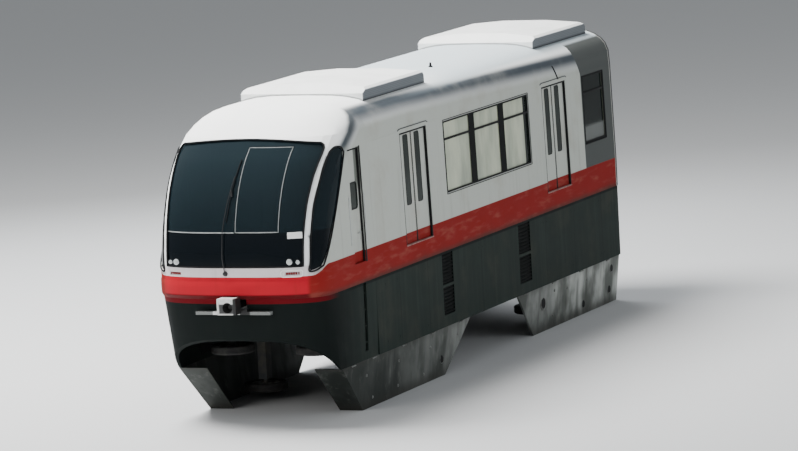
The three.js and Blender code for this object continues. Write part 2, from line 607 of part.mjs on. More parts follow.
function add(name, solid, paint, at = [0, 0, 0], group = car) {
  const [color, roughness, metalness] = PAINT[paint];
  const material = new THREE.MeshStandardMaterial({ color, roughness, metalness });
  const mesh = new THREE.Mesh(geometryFrom(solid), material);
  mesh.name = name;
  mesh.position.set(...at);
  group.add(mesh);
}

// A piece of the left side, and its mirror image on the right
function addPair(name, solid, paint) {
  add(name + "_left", solid, paint);
  add(name + "_right", mirrorY(solid), paint);
}

addPair("side_wall", sideWall(), "white");
addPair("side_window", glazedBay(BAY, BAY.panes - 1), "glass");
addPair("end_window", glazedBay(END_BAY, 0), "glass");
add("roof_shell", roofShell(), "white");
add("floor_deck", floorDeck(), "grey");
add("rear_wall", rearWall(), "grey");
add("nose_shell", noseShell(), "white");
add("windscreen", windscreen(), "glass");
add("front_exit_door", exitDoor(), "glass");
addPair("quarter_glass", quarterGlass(), "glass");
add("nose_apron", noseApron(), "dark");
addPair("side_skirt", sideSkirt(), "dark");
for (const c of COVERS) addPair("bogie_cover_" + c.name, bogieCover(c), "cover");
ROOF_UNIT_X.forEach((x, i) => add("roof_unit_" + ["front", "rear"][i], roofUnit(x), "white"));
add("front_coupler", frontCoupler(), "steel");
add("rear_drawbar", rearDrawbar(), "steel");
add("gangway_bellows", gangwayBellows(), "rubber");
add("cab_partition", cabPartition(), "grey");
add("driver_desk", driverDesk(), "grey");
add("driver_seat", driverSeat(), "seat");
addPair("bench", bench(), "seat");
add("underfloor_equipment", underfloorEquipment(), "steel");
addPair("crew_door", crewDoor(), "white");

// Door leaves: each doorway has a front leaf and a rear leaf that part in the middle
DOORWAY_X.forEach((x, i) => {
  const where = ["front", "rear"][i];
  const reach = DOORWAY.half + LEAF.tuck;
  for (const [leaf, s] of [["fore", 1], ["aft", -1]]) {
    const [near, far] = [s * LEAF.seam, s * reach];
    const solid = doorLeaf(Math.min(near, far), Math.max(near, far), s * LEAF_PANE.middle);
    add(`door_${where}_${leaf}_left`, solid, "white", [x, 0, 0]);
    add(`door_${where}_${leaf}_right`, mirrorY(solid), "white", [x, 0, 0]);
  }
});

BOGIE_X.forEach((x, i) => {
  const where = ["front", "rear"][i];
  const bogie = new THREE.Group();
  bogie.position.set(x, 0, 0);
  car.add(bogie);
  add("bogie_frame_" + where, bogieFrame(), "steel", [0, 0, 0], bogie);
  for (const [end, s] of [["fore", 1], ["aft", -1]]) {
    add(`running_axle_${where}_${end}`, runningAxle(), "rubber", [s * TYRE.half, 0, TYRE.radius], bogie);
    for (const [side, t] of [["left", 1], ["right", -1]]) {
      add(`guide_wheel_${where}_${end}_${side}`, sideWheel(GUIDE), "rubber", [s * GUIDE.x, t * SIDE_WHEEL_Y, GUIDE.z], bogie);
    }
  }
  for (const [side, t] of [["left", 1], ["right", -1]]) {
    add(`stabilising_wheel_${where}_${side}`, sideWheel(STABLE), "rubber", [0, t * SIDE_WHEEL_Y, STABLE.z], bogie);
  }
});

export default car;
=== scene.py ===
# The leading car of a straddle-beam monorail train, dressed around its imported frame.
# Metres, the front faces +X, the left side is +Y, +Z is up and z = 0 is the top of the beam.

import math

import bmesh
import bpy
from mathutils import Matrix, Vector


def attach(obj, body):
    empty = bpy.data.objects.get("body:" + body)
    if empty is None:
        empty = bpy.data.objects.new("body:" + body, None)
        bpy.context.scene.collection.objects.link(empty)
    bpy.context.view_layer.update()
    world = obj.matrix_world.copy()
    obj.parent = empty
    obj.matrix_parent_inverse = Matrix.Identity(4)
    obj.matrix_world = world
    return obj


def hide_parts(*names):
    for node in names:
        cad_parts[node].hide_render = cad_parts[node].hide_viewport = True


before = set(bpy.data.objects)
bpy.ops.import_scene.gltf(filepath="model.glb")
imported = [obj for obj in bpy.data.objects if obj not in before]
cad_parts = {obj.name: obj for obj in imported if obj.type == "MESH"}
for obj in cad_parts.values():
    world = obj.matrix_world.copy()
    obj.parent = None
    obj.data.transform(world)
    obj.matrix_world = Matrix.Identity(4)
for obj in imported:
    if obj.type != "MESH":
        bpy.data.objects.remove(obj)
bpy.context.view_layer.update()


# The camera stands where the photograph was taken from, ahead of the car's left side and above it,
# with a longer lens turned to the car so that it fills the frame.
def placed(name, data):
    """A new object in the scene."""
    made = bpy.data.objects.new(name, data)
    bpy.context.scene.collection.objects.link(made)
    return made


camera_data = bpy.data.cameras.new("photo_camera")
camera_data.lens = 249.0
camera_data.sensor_width = 36.0
camera_data.clip_start = 1.0
camera_data.clip_end = 400.0
camera = placed("photo_camera", camera_data)
camera_place = Vector((87.6212, 36.5450, 13.1990))
camera_aim = Vector((-0.06, 0.0, 1.02))
photo_upright = Vector((-0.14234619, -0.00158312, 0.98981567))
looking = (camera_aim - camera_place).normalized()
camera_right = looking.cross(photo_upright).normalized()
camera_up = camera_right.cross(looking)
camera.matrix_world = Matrix((
    (camera_right.x, camera_up.x, -looking.x, camera_place.x),
    (camera_right.y, camera_up.y, -looking.y, camera_place.y),
    (camera_right.z, camera_up.z, -looking.z, camera_place.z),
    (0.0, 0.0, 0.0, 1.0),
))
bpy.context.scene.camera = camera


# The studio is a pale floor under the lowest covers, a sky that brightens overhead, a broad key light
# above and weaker lights on the left, ahead and behind. The lamps leave no hard shapes in the glass.
floor_bm = bmesh.new()
bmesh.ops.create_grid(floor_bm, x_segments=1, y_segments=1, size=160.0)
bmesh.ops.translate(floor_bm, verts=floor_bm.verts, vec=(0.0, 0.0, -1.322))
floor_mesh = bpy.data.meshes.new("studio_floor")
floor_bm.to_mesh(floor_mesh)
floor_bm.free()
studio_floor = placed("studio_floor", floor_mesh)
floor_paint = bpy.data.materials.new("studio_floor")
floor_paint.use_nodes = True
floor_surface = floor_paint.node_tree.nodes["Principled BSDF"].inputs
floor_surface["Base Color"].default_value = (0.52, 0.53, 0.54, 1.0)
floor_surface["Roughness"].default_value = 0.85
floor_mesh.materials.append(floor_paint)

sky = bpy.data.worlds.new("studio_sky")
sky.use_nodes = True
sky_nodes = sky.node_tree.nodes
sky_nodes["Background"].inputs["Strength"].default_value = 0.48
sky_place = sky_nodes.new("ShaderNodeTexCoord")
sky_split = sky_nodes.new("ShaderNodeSeparateXYZ")
sky_ramp = sky_nodes.new("ShaderNodeValToRGB")
sky_ramp.color_ramp.elements[0].position = 0.0
sky_ramp.color_ramp.elements[0].color = (0.42, 0.45, 0.48, 1.0)
sky_ramp.color_ramp.elements[1].position = 0.75
sky_ramp.color_ramp.elements[1].color = (0.95, 0.98, 1.0, 1.0)
sky.node_tree.links.new(sky_place.outputs["Generated"], sky_split.inputs[0])
sky.node_tree.links.new(sky_split.outputs["Z"], sky_ramp.inputs["Fac"])
sky.node_tree.links.new(sky_ramp.outputs["Color"], sky_nodes["Background"].inputs["Color"])
bpy.context.scene.world = sky


def studio_light(name, place, aim, size, power, colour):
    lamp = bpy.data.lights.new(name, "AREA")
    lamp.shape = "RECTANGLE"
    lamp.size, lamp.size_y = size
    lamp.energy = power
    lamp.color = colour
    holder = placed(name, lamp)
    holder.visible_glossy = False
    away = (Vector(place) - Vector(aim)).normalized()
    holder.matrix_world = Matrix.Translation(place) @ away.to_track_quat("Z", "Y").to_matrix().to_4x4()


studio_light("key_light", (3.0, -9.0, 22.0), (0.5, 0.0, 1.5), (14.0, 14.0), 22000.0, (1.0, 0.985, 0.96))
studio_light("side_light", (8.0, 24.0, 9.0), (0.0, 0.0, 1.0), (22.0, 10.0), 1900.0, (0.95, 0.98, 1.0))
studio_light("nose_light", (26.0, -6.0, 9.0), (5.0, 0.0, 1.5), (10.0, 8.0), 2600.0, (1.0, 0.98, 0.95))
studio_light("back_light", (-16.0, -12.0, 12.0), (0.0, 0.0, 1.5), (14.0, 8.0), 3000.0, (0.94, 0.97, 1.0))


# The body panels are welded aluminium, filled and painted satin white. A red stripe runs round the
# lower edge, the end bay beside the gangway is blue grey, and rain has left faint streaks.
class Wire:
    """One socket of a material's nodes; arithmetic on it adds the Math nodes."""

    def __init__(self, tree, socket=None):
        self.tree = tree
        self.socket = socket

    def node(self, kind, settings=None, values=None, out=0):
        made = self.tree.nodes.new(kind)
        for key, value in (settings or {}).items():
            if key == "stops":
                ramp = made.color_ramp
                for _ in range(len(value) - 2):
                    ramp.elements.new(0.5)
                for element, (position, colour) in zip(ramp.elements, value):
                    element.position = position
                    element.color = (*colour, 1.0)
            else:
                setattr(made, key, value)
        for key, value in (values or {}).items():
            if isinstance(value, Wire):
                self.tree.links.new(value.socket, made.inputs[key])
            else:
                made.inputs[key].default_value = value
        return Wire(self.tree, made.outputs[out])

    def math(self, operation, *others, first=None):
        given = [self if first is None else first, *others]
        return self.node("ShaderNodeMath", {"operation": operation}, dict(enumerate(given)))

    def __add__(self, other):
        return self.math("ADD", other)

    def __sub__(self, other):
        return self.math("SUBTRACT", other)

    def __rsub__(self, other):
        return self.math("SUBTRACT", self, first=other)

    def __mul__(self, other):
        return self.math("MULTIPLY", other)

    def __truediv__(self, other):
        return self.math("DIVIDE", other)

    __radd__ = __add__

    def rise(self, low, high):
        """0 below low and 1 above high, with a smooth step between."""
        smooth = {"interpolation_type": "SMOOTHSTEP"}
        return self.node("ShaderNodeMapRange", smooth, {0: self, 1: low, 2: high})

    def fall(self, low, high):
        """1 below low and 0 above high."""
        return 1.0 - self.rise(low, high)

    def band(self, low, high, soft=0.003):
        """1 between low and high."""
        return self.rise(low - soft, low + soft) * self.fall(high - soft, high + soft)

    def at_most(self, limit):
        return self.math("MINIMUM", limit)

    def at_least(self, limit):
        return self.math("MAXIMUM", limit)

    def mix(self, below, above):
        """A colour from below where this mask is 0 to above where it is 1."""
        below, above = [end if isinstance(end, Wire) else (*end, 1.0) for end in (below, above)]
        return self.node("ShaderNodeMix", {"data_type": "RGBA"}, {0: self, 6: below, 7: above}, out=2)

    def stretched(self, x, y, z):
        return self.node("ShaderNodeVectorMath", {"operation": "MULTIPLY"}, {0: self, 1: (x, y, z)})

    def cloud(self, scale, detail=3.0, rough=0.55):
        values = {"Vector": self, "Scale": scale, "Detail": detail, "Roughness": rough}
        return self.node("ShaderNodeTexNoise", None, values)


class Finish:
    """A material whose surface sockets are set by name, and the Object coordinates it is painted by."""

    def __init__(self, name, **sockets):
        self.material = bpy.data.materials.new(name)
        self.material.use_nodes = True
        tree = self.material.node_tree
        self.surface = tree.nodes["Principled BSDF"]
        self.place = Wire(tree).node("ShaderNodeTexCoord", out=3)
        split = self.place.node("ShaderNodeSeparateXYZ", None, {0: self.place})
        self.x, self.y, self.z = [Wire(tree, split.socket.node.outputs[k]) for k in range(3)]
        self.side = self.y.math("ABSOLUTE")
        self.set(**sockets)

    def set(self, **sockets):
        for key, value in sockets.items():
            socket = self.surface.inputs[key.replace("_", " ")]
            if isinstance(value, Wire):
                self.material.node_tree.links.new(value.socket, socket)
            elif isinstance(value, tuple) and len(value) == 3:
                socket.default_value = (*value, 1.0)
            else:
                socket.default_value = value
        return self

    def bump(self, height, strength=0.3, distance=0.002):
        values = {"Height": height, "Strength": strength, "Distance": distance}
        return self.set(Normal=height.node("ShaderNodeBump", None, values))


def dress(finish, *nodes):
    for name in nodes:
        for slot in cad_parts[name].material_slots:
            slot.material = finish.material


PAINT_WHITE = (0.86, 0.88, 0.88)
PAINT_RED = (0.43, 0.014, 0.026)
PAINT_RED_SIDE_SHADE = (0.195, 0.017, 0.013)
RED_UNDERSIDE_SHADE = (0.105, 0.004, 0.007)
PAINT_RED_SCUFFED = (0.33, 0.13, 0.10)
PAINT_END_BAY = (0.085, 0.092, 0.090)
SHOULDER_SHADE = (0.022, 0.034, 0.048)
WALL_DUST = (0.62, 0.61, 0.56)
WALL_SIDE_SHADE = (0.41, 0.435, 0.39)
WALL_STAIN = (0.40, 0.38, 0.33)
ROOF_TOP_BLUE_GREY = (0.42, 0.49, 0.53)
PINK_REFLECTION = (0.50, 0.42, 0.44)
RED_STREAK = (0.16, 0.030, 0.022)
GRIME = (0.21, 0.20, 0.17)
DOOR_DARK_PATCH = (0.070, 0.080, 0.068)
SPLASH_AND_EDGE_SHADE = (0.055, 0.040, 0.034)
INSIDE_LINING = (0.50, 0.50, 0.47)
HALF_WIDTH = 1.49
STRIPE_TOP = 1.32
WALL_LEAN = 0.0216
END_BAY_FRONT = -5.45
HANDS = ((1, "left"), (-1, "right"))


def body_paint(name, rain=1.0, top=4.0):
    """The white, red and grey coat of the body, with its dust and stains and with painted shade on its
    shoulders, sides and lower edges.
    """
    coat = Finish(name, Specular_IOR_Level=0.05)
    patches = coat.place.cloud(1.3, 4.0)
    specks = coat.place.cloud(34.0, 2.0)
    streaks = coat.place.stretched(9.0, 9.0, 0.55).cloud(1.0, 4.0, 0.6)
    at_front = coat.x.rise(6.50, 6.85)
    turned_in = (coat.x - 4.82).at_least(0.0) * 0.61
    falling = (3.0 - coat.x).at_least(0.0) * 0.0235 - 0.095
    shoulder_z = coat.z + turned_in + falling
    round_corner = coat.side - coat.z * 0.035

    # A dark blue-grey band along the roof's rounded shoulders is painted shade and painted sky reflection.
    shoulder_shade = shoulder_z.rise(3.16, 3.45) * shoulder_z.fall(3.49, 3.59) * coat.side.rise(1.05, 1.18)
    shoulder_shade = shoulder_shade * coat.x.fall(5.70, 5.95)
    white = (shoulder_shade * 0.95).mix(PAINT_WHITE, SHOULDER_SHADE)
    wear_and_painted_light = (patches.rise(0.45, 0.75) * 0.16).mix(white, WALL_DUST)
    # Walls that face sideways, from the nose's corner back, are painted greyer as shade.
    under_roof = coat.z.fall(2.95, 3.15).at_least(shoulder_z.fall(3.18, 3.36))
    low_wall = under_roof * round_corner.rise(1.255, 1.305)
    wear_and_painted_light = (low_wall * 0.85).mix(wear_and_painted_light, WALL_SIDE_SHADE)
    wear_and_painted_light = (low_wall * patches.rise(0.50, 0.72) * 0.4).mix(wear_and_painted_light, WALL_STAIN)
    # The top of the roof behind x = 3 m is painted blue grey.
    wear_and_painted_light = (coat.x.fall(-0.5, 3.0) * coat.z.rise(3.50, 3.60) * 0.85).mix(wear_and_painted_light, ROOF_TOP_BLUE_GREY)
    wear_and_painted_light = (at_front * coat.z.fall(1.30, 1.36) * 0.6).mix(wear_and_painted_light, PINK_REFLECTION)
    running = streaks.rise(0.52, 0.78) * coat.z.fall(2.2, 3.2) * 0.20 * rain
    walls = running.mix(wear_and_painted_light, GRIME)
    end_bay = (coat.x - coat.z.rise(2.98, 3.45) * 0.22).fall(END_BAY_FRONT - 0.004, END_BAY_FRONT + 0.004)
    walls = (end_bay * coat.z.fall(top - 0.04, top)).mix(walls, PAINT_END_BAY)

    # The stripe's turned-under lower edge at the front is painted dark red as shade.
    tucked_shade = coat.z.fall(0.860, 0.895) * coat.x.rise(6.2, 6.9)
    red = tucked_shade.mix(PAINT_RED, RED_UNDERSIDE_SHADE)
    red = (streaks.rise(0.5, 0.8) * 0.30).mix(red, RED_STREAK)
    # Beyond the nose's corner the stripe is painted a darker red as shade.
    on_side = round_corner.rise(1.20, 1.28)
    red = (on_side * 0.85).mix(red, PAINT_RED_SIDE_SHADE)
    scuffs = coat.place.stretched(1.5, 1.5, 7.0).cloud(1.6, 3.0, 0.5).rise(0.48, 0.78) * on_side
    red = (scuffs * 0.30).mix(red, PAINT_RED_SCUFFED)
    stripe = (coat.z - (STRIPE_TOP - at_front * 0.155)).fall(-0.003, 0.003)
    colour = stripe.mix(walls, red)

    # A dark patch is painted beside the crew door's rear edge, above 2.3 m.
    dark_patch = coat.x.band(4.97, 5.11, 0.012) * coat.z.rise(2.25, 2.50) * coat.z.fall(3.02, 3.05)
    colour = (dark_patch * coat.side.rise(1.3, 1.35) * 0.8).mix(colour, DOOR_DARK_PATCH)
    # Splashes from the beam darken the lowest panels at random, and the lowest 0.1 m of the sides is darkened
    # further, partly as dirt and partly as painted shade under the body's edge.
    splash_and_shade = coat.z.fall(0.80, 1.05) * patches.rise(0.35, 0.8) * 0.35
    splash_and_shade = splash_and_shade + coat.z.fall(0.80, 0.90) * (1.0 - at_front) * 0.55
    colour = splash_and_shade.at_most(0.9).mix(colour, SPLASH_AND_EDGE_SHADE)
    from_outside = coat.side + coat.z * WALL_LEAN
    inside = from_outside.fall(1.445, 1.452) * coat.x.fall(4.5, 4.6) * coat.z.fall(3.0, 3.04)
    coat.set(Base_Color=inside.mix(colour, INSIDE_LINING))
    coat.set(Roughness=0.34 + patches * 0.16 + specks * 0.08 + low_wall * 0.2)
    return coat.bump(patches * 0.6 + specks * 0.05, 0.10, 0.004)


skins = {}


def panel(name, finish, body="car_body", angle=32):
    """A copy of a CAD node with joined corners and smooth curves, standing in its place."""
    bm = bmesh.new()
    bm.from_mesh(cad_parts[name].data)
    bmesh.ops.remove_doubles(bm, verts=bm.verts, dist=0.0002)
    bmesh.ops.dissolve_limit(bm, angle_limit=0.002, use_dissolve_boundaries=False,
                             verts=bm.verts, edges=bm.edges)
    mesh = bpy.data.meshes.new(name + "_panel")
    bm.to_mesh(mesh)
    bm.free()
    made = placed(name + "_panel", mesh)
    mesh.materials.clear()
    mesh.materials.append(finish.material)
    mesh.shade_smooth()
    mesh.set_sharp_from_angle(angle=math.radians(angle))
    weigh = made.modifiers.new("flat_faces_first", "WEIGHTED_NORMAL")
    weigh.keep_sharp = True
    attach(made, body)
    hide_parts(name)
    skins[name] = made


wall_paint = body_paint("wall_paint")
panel("nose_shell", wall_paint)
dress(wall_paint, "side_wall_left", "side_wall_right", "crew_door_left", "crew_door_right")
for where in ("front", "rear"):
    dress(wall_paint, *[f"door_{where}_{leaf}_{hand}" for leaf in ("fore", "aft") for _, hand in HANDS])


# The roof shell is the same welded aluminium. It is painted white with a blue-grey top over its rear half and
# is dustier than the walls. The two air-conditioning units on it have white covers, with sides painted blue
# grey as shade.
roof_paint = body_paint("roof_paint", rain=0.3, top=3.60)
panel("roof_shell", roof_paint)
unit_paint = Finish("unit_paint", Roughness=0.45, Specular_IOR_Level=0.3)
unit_dust = unit_paint.place.cloud(2.2, 5.0)
unit_white = (unit_dust.rise(0.4, 0.75) * 0.35).mix((0.78, 0.80, 0.80), (0.55, 0.56, 0.55))
# The units' sides are painted blue grey as shade, a dark line along their foot is painted shadow, and the
# dark lines across the louvres are painted shade between the slats.
unit_side = unit_paint.side.rise(1.095, 1.106)
over_roof = unit_paint.z - 3.75 + (unit_paint.side / 1.1).math("POWER", 4.0) * 0.1
unit_foot_shadow = over_roof.fall(0.012, 0.030) * 0.55 + over_roof.fall(0.035, 0.055) * unit_side * 0.4
louvre_gap_shade = ((unit_paint.z * 230.0).math("SINE") * 0.5 + 0.5) * unit_side * unit_paint.z.band(3.70, 3.81)
unit_white_and_side_shade = (unit_side * 0.95).mix(unit_white, (0.155, 0.175, 0.195))
unit_paint.set(Base_Color=(unit_foot_shadow + louvre_gap_shade * 0.30).mix(unit_white_and_side_shade, (0.030, 0.036, 0.042)))
unit_paint.bump(unit_dust, 0.08, 0.003)
panel("roof_unit_front", unit_paint, angle=20)
panel("roof_unit_rear", unit_paint, angle=20)


# The side bays hold three panes in one black frame with wide black posts, and the end bays hold one. The
# panes are green glass painted pale as a reflection; the end bay's is painted as a darker reflection, lighter
# grey low down.
side_glass = Finish("side_glass", Specular_IOR_Level=0.12)
bay_front, bay_rear, pane_length, post_length = 1.233, -2.733, 1.1687, 0.23
pane_bottom, pane_top = 1.787, 2.963
pane_ends = []
for k in range(3):
    front = bay_front - k * (pane_length + post_length)
    pane_ends.append((front - pane_length, front))
end_pane_ends = (-6.563, -5.547)
panes = side_glass.x.band(*pane_ends[0]) + side_glass.x.band(*pane_ends[1]) + side_glass.x.band(*pane_ends[2])
end_pane = side_glass.x.band(*end_pane_ends)
# The pale mottled colour of the panes is a painted reflection of bright surroundings.
reflection_mottle = side_glass.place.stretched(1.6, 1.0, 0.5).cloud(1.1, 4.0, 0.6)
pale = reflection_mottle.rise(0.30, 0.72).mix((0.66, 0.70, 0.55), (0.40, 0.44, 0.36))
end_pane_upper = side_glass.z.rise(2.02, 2.10) + reflection_mottle.rise(0.6, 0.8) * 0.2
end_pane_tone = end_pane_upper.mix((0.16, 0.17, 0.165), (0.010, 0.014, 0.013))
pane_colour = end_pane.mix(pale, end_pane_tone)
pane_colour = side_glass.x.band(-2.75, -2.56).mix(pane_colour, (0.012, 0.016, 0.014))
rim = side_glass.x.band(bay_rear - 0.022, bay_front + 0.022) * side_glass.z.band(1.765, 2.985)
rim = rim + side_glass.x.band(-6.61, -5.5)
frame_colour = rim.mix((0.36, 0.37, 0.35), (0.008, 0.009, 0.009))
glazed = (panes + end_pane) * side_glass.z.band(pane_bottom, pane_top)
side_glass.set(Base_Color=glazed.mix(frame_colour, pane_colour))
side_glass.set(Roughness=0.75 - glazed * 0.67, Alpha=1.0 - glazed * 0.16)
dress(side_glass, "side_window_left", "side_window_right", "end_window_left", "end_window_right")


# Each pane opens at the top as a hopper, so a black bar crosses it, and black rubber runs round it.
# Both are fixed in the wall's lean; the bars carry two small latches inside.
def wall_y(z):
    return HALF_WIDTH - WALL_LEAN * max(0.0, z - STRIPE_TOP)


def brick(bm, corner, far_corner):
    """Adds a box between two opposite corners."""
    size = [abs(far - near) for near, far in zip(corner, far_corner)]
    middle = [(far + near) / 2 for near, far in zip(corner, far_corner)]
    bmesh.ops.create_cube(bm, size=1.0, matrix=Matrix.Translation(middle) @ Matrix.Diagonal((*size, 1.0)))


def rod(bm, start, end, radius, far_radius=None, segments=16):
    """Adds a closed round bar, or a cone, from one point to another."""
    start, end = Vector(start), Vector(end)
    reach = end - start
    place = Matrix.Translation((start + end) / 2) @ reach.to_track_quat("Z", "Y").to_matrix().to_4x4()
    far = radius if far_radius is None else far_radius
    bmesh.ops.create_cone(bm, cap_ends=True, segments=segments, radius1=radius, radius2=far,
                          depth=reach.length, matrix=place)


def soften(bm, width, segments=2, sharper_than=0.5):
    """Bevels every edge that turns by more than an angle."""
    edges = [e for e in bm.edges if len(e.link_faces) == 2 and e.calc_face_angle(0.0) > sharper_than]
    bmesh.ops.bevel(bm, geom=edges, offset=width, offset_type="OFFSET", segments=segments, profile=0.5,
                    affect="EDGES", material=-1, clamp_overlap=True)


def round_pane(bm, radius, segments):
    """Rounds the four corners of a pane that is drawn flat, through its thickness."""
    corners = [e for e in bm.edges if abs(e.verts[0].co.y - e.verts[1].co.y) > 0.005]
    bmesh.ops.bevel(bm, geom=corners, offset=radius, segments=segments, profile=0.5,
                    affect="EDGES", material=-1)


def piece(name, bm, finish, body="car_body", wall=0):
    """Makes an object of a bmesh, leant onto a side's wall if one is given, that rides on a body."""
    if wall:
        onto_wall(bm, wall)
    bmesh.ops.recalc_face_normals(bm, faces=bm.faces)
    mesh = bpy.data.meshes.new(name)
    bm.to_mesh(mesh)
    bm.free()
    return made_of(name, mesh, finish, body)


def made_of(name, mesh, finish, body):
    made = placed(name, mesh)
    mesh.materials.clear()
    mesh.materials.append(finish.material)
    mesh.shade_smooth()
    mesh.set_sharp_from_angle(angle=math.radians(35))
    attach(made, body)
    return made


def onto_wall(bm, side):
    """Turns a shape drawn as (x, depth behind the wall's face, height) into its place on a side wall."""
    foot = HALF_WIDTH + WALL_LEAN * STRIPE_TOP
    lean = Matrix(((1, 0, 0, 0), (0, -side, -WALL_LEAN * side, side * foot), (0, 0, 1, 0), (0, 0, 0, 1)))
    bmesh.ops.transform(bm, matrix=lean, verts=bm.verts)


def beads(name, paths, radius, finish, body="car_body", closed=True, resolution=3):
    """Round rubber or metal beads laid along lists of points, as one mesh."""
    curve = bpy.data.curves.new(name, "CURVE")
    curve.dimensions = "3D"
    curve.bevel_depth = radius
    curve.bevel_resolution = resolution
    curve.use_fill_caps = True
    for path in paths:
        line = curve.splines.new("POLY")
        line.points.add(len(path) - 1)
        for point, place in zip(line.points, path):
            point.co = (*place, 1.0)
        line.use_cyclic_u = closed
    holder = placed(name + "_line", curve)
    mesh = bpy.data.meshes.new_from_object(holder.evaluated_get(bpy.context.evaluated_depsgraph_get()))
    mesh.name = name
    bpy.data.objects.remove(holder)
    bpy.data.curves.remove(curve)
    return made_of(name, mesh, finish, body)


def rounded_loop(x0, x1, z0, z1, radius, steps=5):
    """Corner points of a rounded rectangle, as pairs."""
    loop = []
    for cx, cz, first in ((x1 - radius, z1 - radius, 0), (x0 + radius, z1 - radius, 90),
                          (x0 + radius, z0 + radius, 180), (x1 - radius, z0 + radius, 270)):
        for k in range(steps + 1):
            angle = math.radians(first + 90 * k / steps)
            loop.append((cx + radius * math.cos(angle), cz + radius * math.sin(angle)))
    return loop


black_rubber = Finish("black_rubber", Roughness=0.7, Specular_IOR_Level=0.2)
black_rubber.set(Base_Color=(0.012, 0.012, 0.013))
black_rubber.bump(black_rubber.place.cloud(60.0, 2.0), 0.15, 0.001)
for side, hand in HANDS:
    bars = bmesh.new()
    for rear, front in [*pane_ends, end_pane_ends]:
        brick(bars, (rear, 0.004, 2.655), (front, 0.022, 2.692))
        for x in (rear + 0.18, front - 0.18):
            brick(bars, (x - 0.02, 0.040, 2.64), (x + 0.02, 0.062, 2.70))
    soften(bars, 0.004)
    piece("hopper_bars_" + hand, bars, black_rubber, wall=side)
    outlines = [(bay_rear - 0.045, bay_front + 0.045, 1.742, 3.008), (-6.608, -5.502, 1.742, 2.988)]
    rings = []
    for x0, x1, z0, z1 in outlines:
        loop = rounded_loop(x0, x1, z0, z1, 0.012, 2)
        rings.append([(x, side * (wall_y(z) - 0.001), z) for x, z in loop])
    for rear, front in [*pane_ends, end_pane_ends]:
        loop = rounded_loop(rear, front, pane_bottom, pane_top, 0.035)
        rings.append([(x, side * (wall_y(z) - 0.008), z) for x, z in loop])
    beads("window_rubber_" + hand, rings, 0.007, black_rubber)


# The windscreen is one wrap-round sheet of dark glass with an exit door in it. Its lower part is a
# solid black panel that hides the desk, and the quarter lights beside it are black too.
screen_glass = Finish("screen_glass", Roughness=0.04, Specular_IOR_Level=0.28)
clear_glass = screen_glass.z.rise(1.87, 1.89)
screen_glass.set(Base_Color=clear_glass.mix((0.003, 0.005, 0.007), (0.007, 0.014, 0.018)))
screen_glass.set(Alpha=1.0 - clear_glass * 0.10)
panel("windscreen", screen_glass)
panel("front_exit_door", screen_glass, "front_exit_door")
for _, hand in HANDS:
    panel("quarter_glass_" + hand, screen_glass)


# Black rubber holds the windscreen and the quarter lights, and pale metal strips edge the panes and
# the exit door. Every strip is laid on the curved glass itself.
def nearest_hit(nodes, start, towards):
    """The first point of some CAD nodes on a line; in a seam it takes the panel next to it."""
    for aside in (0.0, 0.012, -0.012, 0.024, -0.024):
        shifted = start + Vector((0.0, 0.0, aside))
        casts = [skins[name].ray_cast(shifted, towards) for name in nodes]
        hits = [place for hit, place, _, _ in casts if hit]
        if hits:
            first = min(hits, key=lambda place: (place - shifted).length)
            return first - Vector((0.0, 0.0, aside))


def in_front(y, z, *nodes):
    """The point where a line from ahead meets the front of the car."""
    nodes = nodes or ("nose_shell", "windscreen", "front_exit_door")
    return nearest_hit(nodes, Vector((9.0, y, z)), Vector((-1.0, 0.0, 0.0)))


def along(points, step=0.05):
    """Points every step or so along a polyline."""
    line = []
    for start, end in zip(points, points[1:]):
        count = max(1, round(math.dist(start, end) / step))
        for k in range(count):
            line.append(tuple(a + (b - a) * k / count for a, b in zip(start, end)))
    return [*line, points[-1]]


def rounded_through(corners, steps=6):
    """A smooth closed line through some corners."""
    line = []
    count = len(corners)
    for k in range(count):
        a, b, c, d = [corners[(k + j) % count] for j in (-1, 0, 1, 2)]
        for step in range(steps):
            t = step / steps
            weights = (-t + 2 * t ** 2 - t ** 3, 2 - 5 * t ** 2 + 3 * t ** 3,
                       t + 4 * t ** 2 - 3 * t ** 3, t ** 3 - t ** 2)
            line.append(tuple(sum(w * p[i] for w, p in zip(weights, (a, b, c, d))) / 2 for i in range(2)))
    return line


def nose_skin(z):
    """Half width, foremost x and depth of the rounded corners of the nose at a height."""
    half = wall_y(z)
    if z > 3.05:
        half = wall_y(3.05) * (1.0 - ((z - 3.05) / 0.70) ** 3.3) ** (1 / 3.3)
    front = 4.5 + 2.6 * math.sqrt(1.0 - (max(0.0, z - 1.2) / 2.55) ** 2.5)
    return half, front, 0.8 + 0.16 * max(0.0, z - STRIPE_TOP)


def skin_from_front(y, z):
    half, front, deep = nose_skin(z)
    return Vector((front - deep + deep * (1.0 - (abs(y) / half) ** 3) ** (1 / 3), y, z))


def skin_from_side(x, z, side):
    half, front, deep = nose_skin(z)
    turn = max(0.0, (x - front + deep) / deep)
    return Vector((x, side * half * (1.0 - min(1.0, turn) ** 3) ** (1 / 3), z))


